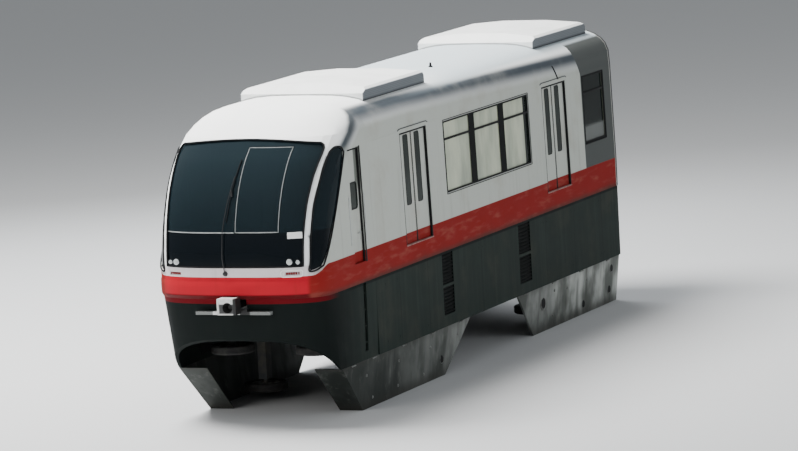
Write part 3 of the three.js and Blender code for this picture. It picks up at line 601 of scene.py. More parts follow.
screen_side = [(1.212, 1.33), (1.216, 1.8), (1.234, 2.3), (1.262, 2.75), (1.290, 3.04), (1.288, 3.125),
               (1.266, 3.18)]
screen_top = [(1.225 * (1 - k / 8), 3.292 - 0.077 * (1 - k / 8) ** 2) for k in range(9)]
half_loop = [*screen_side, *screen_top]
screen_loop = along([*half_loop, *[(-y, z) for y, z in reversed(half_loop[:-1])], half_loop[0]])[:-1]
screen_rubber = [skin_from_front(y * 0.994, z) for y, z in screen_loop]
quarter_corners = [(6.585, 1.40), (6.69, 1.29), (6.862, 1.235), (6.848, 1.40), (6.784, 1.80), (6.607, 2.30),
                   (6.292, 2.75), (6.032, 3.0), (5.925, 3.078), (5.80, 3.122), (5.67, 3.108), (5.612, 3.04),
                   (5.632, 2.93), (6.08, 2.15)]
quarter_round = rounded_through(quarter_corners)
quarter_rubber = [[skin_from_side(x, z, side) for x, z in quarter_round] for side in (1, -1)]
beads("windscreen_rubber", [screen_rubber, *quarter_rubber], 0.015, black_rubber)

pale_metal = Finish("pale_metal", Roughness=0.35, Metallic=0.7)
pale_wear = pale_metal.place.cloud(20.0).rise(0.3, 0.8) * 0.4
pale_metal.set(Base_Color=pale_wear.mix((0.55, 0.57, 0.57), (0.33, 0.34, 0.33)))
screen_strip = [in_front(y, z) for y, z in along([(-1.20, 1.885), (0.062, 1.885)])]
beads("screen_strip", [screen_strip], 0.0085, pale_metal, closed=False)
door_edge = along([(0.088, 1.888), (0.822, 1.888), (0.822, 3.172), (0.088, 3.172), (0.088, 1.888)])[:-1]
door_strip = [in_front(y, z, "front_exit_door") for y, z in door_edge]
beads("exit_door_strip", [door_strip], 0.0075, pale_metal, body="front_exit_door")


# The lamps stand low behind the black panel, two a side in chromed cups under clear lenses, and the
# tail lamps are red bars in slots of the white strip, with a raised white rim on the left one.
lamp_chrome = Finish("lamp_chrome", Base_Color=(0.62, 0.63, 0.64), Roughness=0.12, Metallic=1.0)
lamp_lens = Finish("lamp_lens", Roughness=0.08, Coat_Weight=1.0)
lens_ribs = (lamp_lens.y * 420.0).math("SINE") * 0.5 + 0.5
lamp_lens.set(Base_Color=lens_ribs.mix((0.30, 0.32, 0.32), (0.62, 0.65, 0.65)))
lamp_lens.bump(lens_ribs, 0.3, 0.001)
cups = bmesh.new()
lenses = bmesh.new()
for side in (1, -1):
    for y, z, radius, face in ((1.000, 1.408, 0.056, 7.008), (1.125, 1.400, 0.040, 6.956)):
        rod(cups, (face - 0.004, side * y, z), (face + 0.007, side * y, z), radius * 0.99, radius * 0.90, 32)
        dome = bmesh.ops.create_uvsphere(lenses, u_segments=28, v_segments=14, radius=radius * 0.82)
        flat = Matrix.Translation((face + 0.006, side * y, z)) @ Matrix.Diagonal((0.28, 1.0, 1.0, 1.0))
        bmesh.ops.transform(lenses, matrix=flat, verts=dome["verts"])
soften(cups, 0.002)
piece("headlamp_cups", cups, lamp_chrome)
piece("headlamp_lenses", lenses, lamp_lens)

tail_red = Finish("tail_red", Base_Color=(0.16, 0.006, 0.008), Roughness=0.12, Coat_Weight=1.0)
tail_red.bump((tail_red.y * 260.0).math("SINE"), 0.4, 0.002)
for side, hand in HANDS:
    bars = bmesh.new()
    for k in range(6):
        y = 0.924 + 0.217 * k / 6
        depth = min(in_front(side * y, 1.215).x, in_front(side * (y + 0.217 / 6), 1.215).x)
        brick(bars, (depth - 0.004, side * y, 1.194), (depth + 0.015, side * (y + 0.0345), 1.236))
    soften(bars, 0.004)
    piece("tail_lamp_" + hand, bars, tail_red)
white_trim = Finish("white_trim", Base_Color=(0.82, 0.83, 0.82), Roughness=0.3, Coat_Weight=0.4)
rim = rounded_loop(0.855, 1.19, 1.165, 1.270, 0.035)
rim_line = [in_front(y, z, "nose_shell") for y, z in along([*rim, rim[0]], 0.03)[:-1]]
beads("tail_lamp_rim", [rim_line], 0.010, white_trim)


# A blank white plate is fixed inside the right pane, and one black wiper sweeps from a pivot in the
# white strip. Its arm is sprung steel and its blade rubber, both laid against the glass.
plate = bmesh.new()
plate_middle = in_front(1.085, 1.83) + Vector((0.010, 0.0, 0.0))
brick(plate, (-0.006, -0.122, -0.052), (0.006, 0.122, 0.052))
soften(plate, 0.004)
plate_place = Matrix.Translation(plate_middle) @ Matrix.Rotation(0.42, 4, "Z")
bmesh.ops.transform(plate, matrix=plate_place, verts=plate.verts)
piece("blank_plate", plate, white_trim)

arm_path = [(-0.10, 1.225), (-0.13, 1.45), (-0.12, 1.9), (-0.06, 2.35), (0.0, 2.75)]
arm_line = []
for y, z in along(arm_path, 0.08):
    arm_line.append(in_front(y, z) + Vector((0.045 if z > 1.3 else 0.03, 0.0, 0.012)))
blade_path = [(-0.07, 2.05), (-0.02, 2.5), (0.03, 3.0)]
blade_line = [in_front(y, z) + Vector((0.014, 0.0, 0.006)) for y, z in along(blade_path)]
beads("wiper_blade", [blade_line], 0.009, black_rubber, closed=False)
wiper_black = Finish("wiper_black", Base_Color=(0.02, 0.02, 0.021), Roughness=0.35)
beads("wiper_arm", [arm_line], 0.008, wiper_black, closed=False)
pivot = bmesh.new()
pivot_place = in_front(-0.10, 1.225)
rod(pivot, pivot_place - Vector((0.01, 0, 0)), pivot_place + Vector((0.045, 0, 0)), 0.046, 0.030, 24)
clip_place = in_front(-0.02, 2.5)
brick(pivot, clip_place + Vector((0.012, -0.012, -0.05)), clip_place + Vector((0.055, 0.02, 0.05)))
soften(pivot, 0.004)
piece("wiper_pivot", pivot, wiper_black)


# Each door leaf is a painted aluminium panel with a tall narrow pane glazed from both sides. Black
# rubber noses meet in the middle, rubber lips line the doorway, and a bright strip covers the sill.
sill_metal = Finish("sill_metal", Roughness=0.5, Metallic=0.4)
sill_dirt = sill_metal.place.cloud(9.0).rise(0.35, 0.7)
sill_metal.set(Base_Color=sill_dirt.mix((0.36, 0.22, 0.20), (0.20, 0.08, 0.07)))
door_glass = Finish("door_glass", Roughness=0.08, Specular_IOR_Level=0.16)
door_tint = door_glass.place.cloud(2.0).rise(0.3, 0.7)
door_glass.set(Base_Color=door_tint.mix((0.008, 0.012, 0.010), (0.024, 0.032, 0.027)))
doorways = {"front": 2.62, "rear": -4.06}
door_foot, door_head = 1.137, 3.018
for where, middle in doorways.items():
    for side, hand in HANDS:
        for leaf, way in (("fore", 1), ("aft", -1)):
            place = f"{where}_{leaf}_{hand}"
            body = "door_" + place
            centre = middle + way * 0.25
            pane = bmesh.new()
            for near, far in ((0.0475, 0.0595), (0.0705, 0.0825)):
                brick(pane, (centre - 0.109, near, 1.781), (centre + 0.109, far, 2.959))
            round_pane(pane, 0.05, 5)
            soften(pane, 0.0015, 1, 1.0)
            piece("door_pane_" + place, pane, door_glass, body, side)
            loop = rounded_loop(centre - 0.110, centre + 0.110, 1.780, 2.960, 0.052)
            ring = [(x, side * (wall_y(z) - 0.050), z) for x, z in loop]
            beads("door_rubber_" + place, [ring], 0.007, black_rubber, body)
            nose = bmesh.new()
            brick(nose, (middle + way * 0.0022, 0.0450, door_foot), (middle + way * 0.030, 0.0880, door_head))
            soften(nose, 0.006, 3)
            piece("door_nose_" + place, nose, black_rubber, body, side)
        lips = bmesh.new()
        for way in (1, -1):
            brick(lips, (middle + way * 0.5995, 0.003, 1.138), (middle + way * 0.566, 0.037, door_head))
        brick(lips, (middle - 0.565, 0.003, 2.990), (middle + 0.565, 0.037, door_head))
        soften(lips, 0.005, 2)
        piece(f"doorway_lips_{where}_{hand}", lips, black_rubber, wall=side)
        sill = bmesh.new()
        brick(sill, (middle - 0.60, -0.005, 1.116), (middle + 0.60, -0.0005, door_foot))
        brick(sill, (middle - 0.598, -0.006, 1.1305), (middle + 0.598, 0.040, door_foot))
        soften(sill, 0.002, 1)
        piece(f"door_sill_{where}_{hand}", sill, sill_metal, wall=side)


# The skirts and the apron below the nose are dark grey moulded panels, scuffed and dusty, and painted darker
# towards the front as shade. The bogie covers under them are bare aluminium sheet, streaked with rubber dust
# and rain.
skirt_paint = Finish("skirt_paint", Specular_IOR_Level=0.06)
skirt_streaks = skirt_paint.place.stretched(7.0, 7.0, 0.4).cloud(1.0, 5.0, 0.6)
skirt_dust = skirt_paint.place.cloud(1.6, 5.0)
skirt_grey = (skirt_streaks.rise(0.4, 0.75) * 0.5).mix((0.019, 0.027, 0.024), (0.036, 0.044, 0.038))
skirt_tone_and_shade = (skirt_dust.rise(0.45, 0.8) * 0.45).mix(skirt_grey, (0.062, 0.060, 0.050))
in_vent = skirt_paint.x.band(1.208, 1.702) + skirt_paint.x.band(-2.482, -1.908)
in_vent = in_vent * skirt_paint.side.fall(1.481, 1.4835)
seams_and_shadow = skirt_paint.x.band(3.597, 3.603, 0.002)
for seam_x in (2.35, -0.12, -3.25, -4.68, -6.12):
    seams_and_shadow = seams_and_shadow + skirt_paint.x.band(seam_x - 0.003, seam_x + 0.003, 0.002)
# A dark line along the top of the side skirts, under the body's edge, is painted shadow.
under_body_shadow = skirt_paint.z.rise(0.740, 0.765) * skirt_paint.x.fall(5.6, 6.2) * 0.8
seams_and_shadow = seams_and_shadow * skirt_paint.side.rise(1.47, 1.475) + under_body_shadow
# Towards the front the skirts and the apron are painted near black as shade.
skirt_tone_and_shade = (skirt_paint.x.rise(4.8, 6.4) * 0.88).mix(skirt_tone_and_shade, (0.004, 0.006, 0.006))
# The apron's top, under the front stripe, is painted dark red as the stripe's underside in shade.
tucked_red_shade = skirt_paint.z.rise(0.715, 0.725) * skirt_paint.x.rise(6.1, 6.7)
skirt_tone_and_shade = tucked_red_shade.mix(skirt_tone_and_shade, RED_UNDERSIDE_SHADE)
skirt_paint.set(Base_Color=(in_vent + seams_and_shadow).at_most(1.0).mix(skirt_tone_and_shade, (0.004, 0.005, 0.005)))
skirt_paint.set(Roughness=0.50 + skirt_dust * 0.25)
skirt_paint.bump(skirt_dust, 0.12, 0.004)
panel("nose_apron", skirt_paint)
dress(skirt_paint, "side_skirt_left", "side_skirt_right")

# The apron has an upright slot each side with rungs in it, which is the ladder to the crew door. A
# black plate closes its back, and the rungs are painted steel bars.
ladder_backs = bmesh.new()
rungs = bmesh.new()
for side in (1, -1):
    brick(ladder_backs, (4.86, side * 1.412, -0.40), (5.34, side * 1.422, 0.795))
    for k in range(4):
        z = -0.20 + 0.27 * k
        rod(rungs, (5.035, side * 1.452, z), (5.165, side * 1.452, z), 0.011, segments=12)
soften(ladder_backs, 0.002, 1)
piece("ladder_backs", ladder_backs, black_rubber)
piece("ladder_rungs", rungs, skirt_paint)


cover_metal = Finish("cover_metal", Metallic=0.3, Specular_IOR_Level=0.2)
cover_streaks = cover_metal.place.stretched(3.6, 3.6, 0.8).cloud(1.0, 4.0, 0.55)
cover_blots = cover_metal.place.stretched(1.0, 1.0, 0.6).cloud(1.9, 4.0, 0.5)
cover_grey = cover_blots.rise(0.32, 0.66).mix((0.115, 0.125, 0.112), (0.56, 0.58, 0.55))
cover_grey = (cover_streaks.rise(0.48, 0.70) * 0.6).mix(cover_grey, (0.065, 0.068, 0.060))
cover_grey = (cover_metal.x.rise(-4.3, -3.3) * 0.5).mix(cover_grey, (0.045, 0.050, 0.048))
# The covers are painted darker towards the front as shade.
cover_grey = (cover_metal.x.rise(-1.0, 5.6) * 0.86).mix(cover_grey, (0.012, 0.016, 0.014))
cover_spots = cover_metal.place.stretched(1.0, 1.0, 0.5).cloud(5.5, 4.0, 0.65).rise(0.54, 0.72)
cover_grey = (cover_spots * cover_metal.x.rise(0.0, 2.0) * 0.30).mix(cover_grey, (0.22, 0.23, 0.21))
grimed = cover_metal.z.fall(-1.30, -1.08) * 0.6 + cover_metal.z.rise(-0.62, -0.48) * 0.25
cover_metal.set(Base_Color=grimed.mix(cover_grey, (0.045, 0.044, 0.038)))
cover_metal.set(Roughness=0.45 + cover_blots * 0.35)
cover_metal.bump(cover_blots + cover_streaks * 0.5, 0.25, 0.006)
for where in ("front", "rear"):
    dress(cover_metal, f"bogie_cover_{where}_left", f"bogie_cover_{where}_right")


# Captive screws and hinges hold the bogie covers and skirt panels, so that the tyres can be reached. The
# rear cover has a round greasing port and dark hand holes, and each skirt panel has flush latches.
screws = bmesh.new()
latches = bmesh.new()
ports = bmesh.new()
hand_holes = bmesh.new()


def cover_sheet(z):
    """How far out the leaning sheet of the bogie covers lies at a height."""
    return 1.460 - 0.1013 * (-0.481 - z)


def cover_rod(bm, spot, side, proud, radius, far_radius=None, segments=16):
    """A round head on a bogie cover, from one height over its sheet to another."""
    x, z = spot
    start, end = [Vector((x, side * (cover_sheet(z) + height), z)) for height in proud]
    rod(bm, start, end, radius, far_radius, segments)


greasing_port = (-3.10, -0.80)
screw_spots = [(5.10, -0.75), (4.80, -1.16), (2.30, -0.73), (2.55, -1.15), (1.05, -0.70), (3.70, -0.73),
               (3.70, -1.15), (-3.65, -0.65), (-4.30, -0.70), (-3.60, -1.10), (-5.30, -0.70)]
hand_hole_spots = [(-6.62, -0.68), (-6.55, -1.06), (-5.20, -1.13), (1.75, -1.02)]
hinge_spots = [0.9, 2.2, 3.5, 4.8, 5.7, -2.2, -3.6, -5.0, -6.4]
latch_spots = [4.20, 3.68, 2.43, 2.27, -0.04, -0.20, -3.17, -3.33, -4.60, -4.76, -6.04, -6.20]
for side in (1, -1):
    for spot in screw_spots:
        cover_rod(screws, spot, side, (-0.004, 0.010), 0.030, 0.024, 18)
        cover_rod(screws, spot, side, (0.006, 0.017), 0.013, segments=6)
    for x in hinge_spots:
        y = side * (cover_sheet(-0.50) + 0.008)
        rod(screws, (x - 0.09, y, -0.50), (x + 0.09, y, -0.50), 0.011, segments=12)
    cover_rod(ports, greasing_port, side, (-0.004, 0.007), 0.130, segments=40)
    cover_rod(hand_holes, greasing_port, side, (0.004, 0.010), 0.095, segments=32)
    for spot in hand_hole_spots:
        cover_rod(ports, spot, side, (-0.004, 0.005), 0.078, segments=32)
        cover_rod(hand_holes, spot, side, (0.002, 0.008), 0.066, segments=32)
    for x in latch_spots:
        for z in (-0.32, 0.64):
            brick(latches, (x - 0.028, side * 1.4845, z - 0.020), (x + 0.028, side * 1.4885, z + 0.020))
            brick(latches, (x - 0.016, side * 1.4880, z - 0.005), (x + 0.016, side * 1.4895, z + 0.005))
soften(screws, 0.002, 1, 0.9)
soften(ports, 0.003, 2)
soften(latches, 0.0008, 1)
dull_zinc = Finish("dull_zinc", Roughness=0.5, Metallic=0.6)
zinc_dust = dull_zinc.place.cloud(11.0, 4.0).rise(0.35, 0.7)
dull_zinc.set(Base_Color=zinc_dust.mix((0.24, 0.25, 0.24), (0.11, 0.105, 0.095)))
piece("cover_screws", screws, dull_zinc)
piece("greasing_ports", ports, dull_zinc)
piece("hand_holes", hand_holes, black_rubber)
piece("skirt_latches", latches, skirt_paint)


# Couplers, underfloor cases and bogie frames are steel in dull grey paint under a film of brake and
# rubber dust. The tyres are black rubber on painted wheels.
gear_steel = Finish("gear_steel", Roughness=0.6, Metallic=0.2)
gear_dust = gear_steel.place.cloud(5.0, 5.0)
gear_steel.set(Base_Color=gear_dust.rise(0.35, 0.75).mix((0.075, 0.080, 0.083), (0.135, 0.125, 0.105)))
gear_steel.bump(gear_dust, 0.2, 0.003)
dress(gear_steel, "underfloor_equipment", "rear_drawbar", "bogie_frame_front", "bogie_frame_rear")

coupler_paint = Finish("coupler_paint", Roughness=0.5)
coupler_wear = coupler_paint.place.cloud(14.0, 4.0)
# The coupler head's cup and the mouth round it are painted near black as the shade inside them.
from_cup = (coupler_paint.y - 0.02).math("POWER", 2.0) + (coupler_paint.z - 0.705).math("POWER", 2.0)
cup_shade = from_cup.fall(0.0073, 0.0079) * coupler_paint.x.fall(7.352, 7.357)
coupler_grey = (coupler_wear.rise(0.4, 0.8) * 0.5).mix((0.66, 0.67, 0.66), (0.30, 0.28, 0.25))
from_head = (coupler_paint.y + 0.12).math("ABSOLUTE")
coupler_grey = from_head.rise(0.23, 0.24).mix(coupler_grey, (0.17, 0.18, 0.175))
mouth_shade = coupler_paint.y.band(-0.130, 0.165, 0.012) * coupler_paint.z.band(0.610, 0.765, 0.012)
coupler_grey = (mouth_shade * coupler_paint.x.rise(7.20, 7.25)).mix(coupler_grey, (0.035, 0.036, 0.036))
bracket = coupler_paint.y.band(0.12, 0.30, 0.01)
coupler_paint.set(Base_Color=(cup_shade + bracket).at_most(1.0).mix(coupler_grey, (0.012, 0.012, 0.012)))
dress(coupler_paint, "front_coupler")


# Each axle has two fat rubber tyres on pressed steel wheels, bolted to hubs on one shaft. The tread has
# four grooves round it, and dust from the beam greys it.
def turned(bm, profile, centre, axis, segments=48):
    """Spins a closed line of (radius, distance along the axis) about an upright or cross axis."""
    cross = axis == "Y"
    spots = [Vector((0.0, out, radius)) if cross else Vector((radius, 0.0, out)) for radius, out in profile]
    verts = [bm.verts.new(Vector(centre) + spot) for spot in spots]
    edges = [bm.edges.new(pair) for pair in zip(verts, [*verts[1:], verts[0]])]
    bmesh.ops.spin(bm, geom=[*verts, *edges], cent=centre, axis=(0, 1, 0) if cross else (0, 0, 1),
                   dvec=(0, 0, 0), angle=math.tau, steps=segments, use_merge=True, use_duplicate=False)


def grooved(half, radius, count, width=0.010, depth=0.011):
    """The tread's line across a tyre, with grooves at even distances."""
    line = [(radius, -half)]
    for k in range(count):
        at = -half + 2 * half * (k + 1) / (count + 1)
        line += [(radius, at - width / 2), (radius - depth, at - width / 2 + 0.001),
                 (radius - depth, at + width / 2 - 0.001), (radius, at + width / 2)]
    return [*line, (radius, half)]


def bolt(bm, foot, towards, size, tall=None):
    """A hexagon bolt head, as tall as it is wide unless a height is given."""
    rod(bm, foot, Vector(foot) + Vector(towards) * (tall or size), size, segments=6)


def bolt_ring(bm, centre, axis, radius, out, count, size=0.014):
    """Hexagon bolt heads round a hub."""
    way = 1 if out > 0 else -1
    for k in range(count):
        across, up = radius * math.cos(math.tau * k / count), radius * math.sin(math.tau * k / count)
        if axis == "Y":
            bolt(bm, Vector(centre) + Vector((across, out, up)), (0, way, 0), size)
        else:
            bolt(bm, Vector(centre) + Vector((across, up, out)), (0, 0, way), size)


tyre_rubber = Finish("tyre_rubber", Roughness=0.85)
tyre_dust = tyre_rubber.place.cloud(9.0, 4.0)
tyre_rubber.set(Base_Color=tyre_dust.rise(0.3, 0.8).mix((0.016, 0.016, 0.017), (0.050, 0.048, 0.044)))
tyre_rubber.bump(tyre_dust + tyre_rubber.place.cloud(90.0, 2.0) * 0.4, 0.3, 0.002)
wheel_paint = Finish("wheel_paint", Roughness=0.5, Metallic=0.3)
wheel_dust = wheel_paint.place.cloud(12.0, 4.0)
wheel_paint.set(Base_Color=wheel_dust.rise(0.4, 0.75).mix((0.21, 0.22, 0.22), (0.085, 0.078, 0.066)))
bogie_places = {"front": 4.25, "rear": -4.35}
for where, bogie_x in bogie_places.items():
    for end, way in (("fore", 1), ("aft", -1)):
        body = f"running_axle_{where}_{end}"
        centre = (bogie_x + way * 0.75, 0.0, 0.48)
        tyres = bmesh.new()
        steel = bmesh.new()
        turned(steel, [(0.0001, -0.585), (0.060, -0.585), (0.060, 0.585), (0.0001, 0.585)], centre, "Y", 24)
        for side in (1, -1):
            middle = side * 0.235
            flank = [(0.292, middle - 0.088), (0.330, middle - 0.112), (0.390, middle - 0.130),
                     (0.440, middle - 0.127), (0.468, middle - 0.108)]
            tread = [(radius, middle + y) for radius, y in grooved(0.094, 0.479, 4)]
            far_flank = [(radius, 2 * middle - y) for radius, y in reversed(flank)]
            turned(tyres, [*flank, *tread, *far_flank], centre, "Y", 64)
            dish = [(0.090, 0.015), (0.145, 0.040), (0.215, 0.035), (0.262, 0.070), (0.300, 0.086),
                    (0.300, -0.090), (0.284, -0.090), (0.270, -0.020), (0.262, 0.040), (0.215, 0.010),
                    (0.145, 0.015), (0.090, -0.012)]
            turned(steel, [(radius, middle + side * y) for radius, y in dish], centre, "Y", 48)
            hub = [(0.058, 0.105), (0.098, 0.105), (0.098, 0.405), (0.088, 0.42), (0.058, 0.42)]
            turned(steel, [(radius, side * y) for radius, y in hub], centre, "Y", 32)
            bolt_ring(steel, centre, "Y", 0.180, middle + side * 0.036, 10)
        piece("tyres_" + body, tyres, tyre_rubber, body)
        axle = piece("wheels_" + body, steel, wheel_paint, body)
        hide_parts(body)


# Eight guide wheels run on the beam's sides below the floor and four stabilising wheels lower down. Each
# is a solid steel disc with a narrow rubber tyre, turning on a pin that its arm carries.
arm_x, arm_y = 1.25, 0.765
side_wheels = []
for where, bogie_x in bogie_places.items():
    for side, hand in HANDS:
        side_wheels.append((f"guide_wheel_{where}_fore_{hand}", (bogie_x + arm_x, side * arm_y, -0.25)))
        side_wheels.append((f"guide_wheel_{where}_aft_{hand}", (bogie_x - arm_x, side * arm_y, -0.25)))
        side_wheels.append((f"stabilising_wheel_{where}_{hand}", (bogie_x, side * arm_y, -1.085)))
for body, centre in side_wheels:
    tyre = bmesh.new()
    flank = [(0.226, -0.052), (0.250, -0.068), (0.300, -0.074), (0.338, -0.069), (0.357, -0.058)]
    far_flank = [(radius, -z) for radius, z in reversed(flank)]
    turned(tyre, [*flank, *grooved(0.046, 0.3645, 3, 0.007, 0.008), *far_flank], centre, "Z", 56)
    disc = bmesh.new()
    rim = [(0.043, -0.045), (0.105, -0.045), (0.118, -0.022), (0.200, -0.022), (0.216, -0.057),
           (0.232, -0.057)]
    turned(disc, [*rim, *[(radius, -z) for radius, z in reversed(rim)]], centre, "Z", 40)
    for along_pin in (-0.022, 0.022):
        bolt_ring(disc, centre, "Z", 0.160, along_pin, 8, 0.011)
    piece("tyre_" + body, tyre, tyre_rubber, body)
    wheel = piece("disc_" + body, disc, wheel_paint, body)
    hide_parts(body)


# Each bogie frame is welded from steel box beams. It carries the car on two rubber air springs, and
# its motor cases, wheel arms and covers are held with rows of bolts.
for where, bogie_x in bogie_places.items():
    springs = bmesh.new()
    bolts = bmesh.new()
    for side in (1, -1):
        for z in (0.645, 0.712, 0.779):
            angles = [math.tau * k / 10 for k in range(10)]
            ring = [(0.172 + 0.030 * math.cos(angle), 0.031 * math.sin(angle)) for angle in angles]
            turned(springs, ring, (bogie_x, side * arm_y, z), "Z", 40)
        bolt_ring(bolts, (bogie_x, side * arm_y, 0.598), "Z", 0.192, 0.001, 12, 0.009)
        for x in (-arm_x, arm_x):
            for dx in (-0.045, 0.045):
                for z in (0.41, 0.51):
                    bolt(bolts, (bogie_x + x + dx, side * 0.850, z), (0, side, 0), 0.013, 0.012)
        for x in (0.36, 0.48, 0.615, 0.75, 0.87):
            for z in (0.375, 0.585):
                bolt(bolts, (bogie_x + x, side * 0.900, z), (0, side, 0), 0.010)
        for k in range(7):
            x = bogie_x + 0.42 + 0.065 * k
            brick(bolts, (x - 0.008, side * 0.899, 0.41), (x + 0.008, side * 0.915, 0.55))
    piece("air_springs_" + where, springs, black_rubber, "bogie_" + where)
    piece("bogie_bolts_" + where, bolts, wheel_paint, "bogie_" + where)


# The folded gangway bellows is rubber-coated cloth on light alloy hoops, screwed to the rear wall.
# Dust lies in its folds, and the coating has a fine weave.
bellows_cloth = Finish("bellows_cloth", Roughness=0.8)
bellows_dust = bellows_cloth.place.cloud(4.0, 5.0)
bellows_cloth.set(Base_Color=bellows_dust.rise(0.35, 0.8).mix((0.020, 0.021, 0.022), (0.060, 0.058, 0.052)))
weave = (bellows_cloth.y * 900.0).math("SINE") * (bellows_cloth.z * 900.0).math("SINE")
bellows_cloth.bump(weave * 0.4 + bellows_dust, 0.25, 0.002)
dress(bellows_cloth, "gangway_bellows")


# On the rear wall are two handrails, a screwed frame round the bellows, sockets for the jumper leads
# with hinged lids, and the bolts that fasten the drawbar to the next car's bar.
rear_rails = bmesh.new()
rear_face = -7.048
rail_y, rail_foot, rail_head = 1.08, 1.25, 2.35
for side in (1, -1):
    rod(rear_rails, (-7.095, side * rail_y, rail_foot), (-7.095, side * rail_y, rail_head), 0.013)
    for z in (rail_foot, 1.80, rail_head):
        rod(rear_rails, (rear_face, side * rail_y, z), (-7.100, side * rail_y, z), 0.014, segments=14)
        rod(rear_rails, (rear_face, side * rail_y, z), (-7.056, side * rail_y, z), 0.032, segments=18)
    for k in range(9):
        bolt(rear_rails, (rear_face, side * 0.850, 1.02 + 0.27 * k), (-1, 0, 0), 0.012, 0.010)
for k in range(7):
    bolt(rear_rails, (rear_face, -0.75 + 0.25 * k, 3.305), (-1, 0, 0), 0.012, 0.010)
for k in range(8):
    angle = math.tau * (k + 0.5) / 8
    spot = (-7.462, 0.098 * math.cos(angle), 0.64 + 0.098 * math.sin(angle))
    bolt(rear_rails, spot, (1, 0, 0), 0.013, 0.024)
piece("rear_rails", rear_rails, dull_zinc)
sockets = bmesh.new()
for side in (1, -1):
    for y, z in ((1.20, 1.02), (1.02, 1.02)):
        rod(sockets, (-7.045, side * y, z), (-7.130, side * y, z), 0.052, segments=24)
        rod(sockets, (-7.118, side * y, z), (-7.136, side * y, z), 0.062, segments=24)
        brick(sockets, (-7.136, side * y - 0.020, z + 0.045), (-7.100, side * y + 0.020, z + 0.085))
soften(sockets, 0.004, 2)
piece("jumper_sockets", sockets, gear_steel)


# A stub aerial in a black housing stands between the roof units. Rain strips are riveted over the
# doorways, and a black drain pipe runs down to the rear doorway on each side.
aerial = bmesh.new()
foot = skins["roof_shell"].ray_cast(Vector((-0.44, 0.59, 5.0)), Vector((0, 0, -1)))[1]
rod(aerial, foot - Vector((0, 0, 0.006)), foot + Vector((0, 0, 0.020)), 0.042, 0.036, 28)
rod(aerial, foot + Vector((0, 0, 0.016)), foot + Vector((0, 0, 0.080)), 0.024, 0.016, 20)
soften(aerial, 0.003, 2, 0.7)
piece("roof_aerial", aerial, black_rubber)
drains = []
for side in (1, -1):
    falls = [(-4.10 - 0.21 * k / 7, 3.33 - 0.25 * k / 7) for k in range(8)]
    drains.append([(x, side * (nose_skin(z)[0] + 0.003), z) for x, z in falls])
beads("door_drains", drains, 0.012, black_rubber, closed=False)
rain_strips = []
for middle in doorways.values():
    for side in (1, -1):
        ends = [(middle + x, z) for x, z in ((0.66, 3.070), (0.60, 3.092), (-0.60, 3.092), (-0.66, 3.070))]
        rain_strips.append([(x, side * (nose_skin(z)[0] + 0.002), z) for x, z in along(ends, 0.1)])
beads("rain_strips", rain_strips, 0.008, unit_paint, closed=False)


# The crew doors are flush panels in rubber-lined openings beside the driver. Each has a small fixed
# pane, a lever handle with a lock below it, and a pair of grab rails on the wall beside it.
for side, hand in HANDS:
    pane = bmesh.new()
    brick(pane, (5.0715, 0.0535, 2.0315), (5.3685, 0.0745, 2.4585))
    round_pane(pane, 0.06, 6)
    piece("crew_door_pane_" + hand, pane, door_glass, "crew_door_" + hand, side)
    ring = [(x, side * (wall_y(z) - 0.0515), z) for x, z in rounded_loop(5.068, 5.372, 2.028, 2.462, 0.062)]
    beads("crew_door_rubber_" + hand, [ring], 0.010, black_rubber, "crew_door_" + hand)
    lips = bmesh.new()
    for x0, x1 in ((4.9905, 5.004), (5.436, 5.4495)):
        brick(lips, (x0, 0.012, 1.135), (x1, 0.044, 3.015))
    brick(lips, (5.004, 0.012, 3.000), (5.436, 0.044, 3.015))
    brick(lips, (4.935, -0.003, 1.128), (4.9895, 0.010, 3.045))
    soften(lips, 0.003, 1)
    piece("crew_doorway_lips_" + hand, lips, black_rubber, wall=side)
    handle = bmesh.new()
    rod(handle, (5.05, 0.051, 1.62), (5.05, 0.030, 1.62), 0.020, segments=20)
    rod(handle, (5.05, 0.034, 1.62), (5.17, 0.034, 1.62), 0.009, segments=12)
    rod(handle, (5.05, 0.051, 1.52), (5.05, 0.044, 1.52), 0.014, segments=20)
    soften(handle, 0.002, 1, 0.9)
    piece("crew_door_handle_" + hand, handle, pale_metal, "crew_door_" + hand, side)
    rails = bmesh.new()
    for x in (4.90, 5.545):
        rod(rails, (x, 0.0, 1.47), (x, 0.0, 2.25), 0.011, segments=14)
        for z in (1.47, 2.25):
            rod(rails, (x, 0.030, z), (x, -0.008, z), 0.013, segments=14)
    piece("grab_rails_" + hand, rails, pale_metal, wall=side)


# Inside are a speckled grey floor, a pale lining, a partition with dark windows behind the driver and
# a black desk with a sloping panel of switches and a screen.
floor_vinyl = Finish("floor_vinyl", Roughness=0.55)
floor_specks = floor_vinyl.place.cloud(70.0, 2.0)
floor_vinyl.set(Base_Color=floor_specks.rise(0.52, 0.62).mix((0.15, 0.155, 0.16), (0.33, 0.33, 0.32)))
dress(floor_vinyl, "floor_deck")

end_wall = Finish("end_wall", Roughness=0.6)
end_dust = end_wall.place.cloud(3.0, 4.0)
end_dark = end_dust.rise(0.3, 0.8).mix((0.022, 0.024, 0.025), (0.055, 0.056, 0.052))
end_wall.set(Base_Color=end_wall.x.rise(-6.99, -6.985).mix(end_dark, INSIDE_LINING))
dress(end_wall, "rear_wall")

partition_panel = Finish("partition_panel", Roughness=0.5)
partition_dust = partition_panel.place.cloud(3.0) * 0.2
partition_panel.set(Base_Color=partition_dust.mix((0.10, 0.105, 0.11), (0.07, 0.07, 0.07)))
dress(partition_panel, "cab_partition")
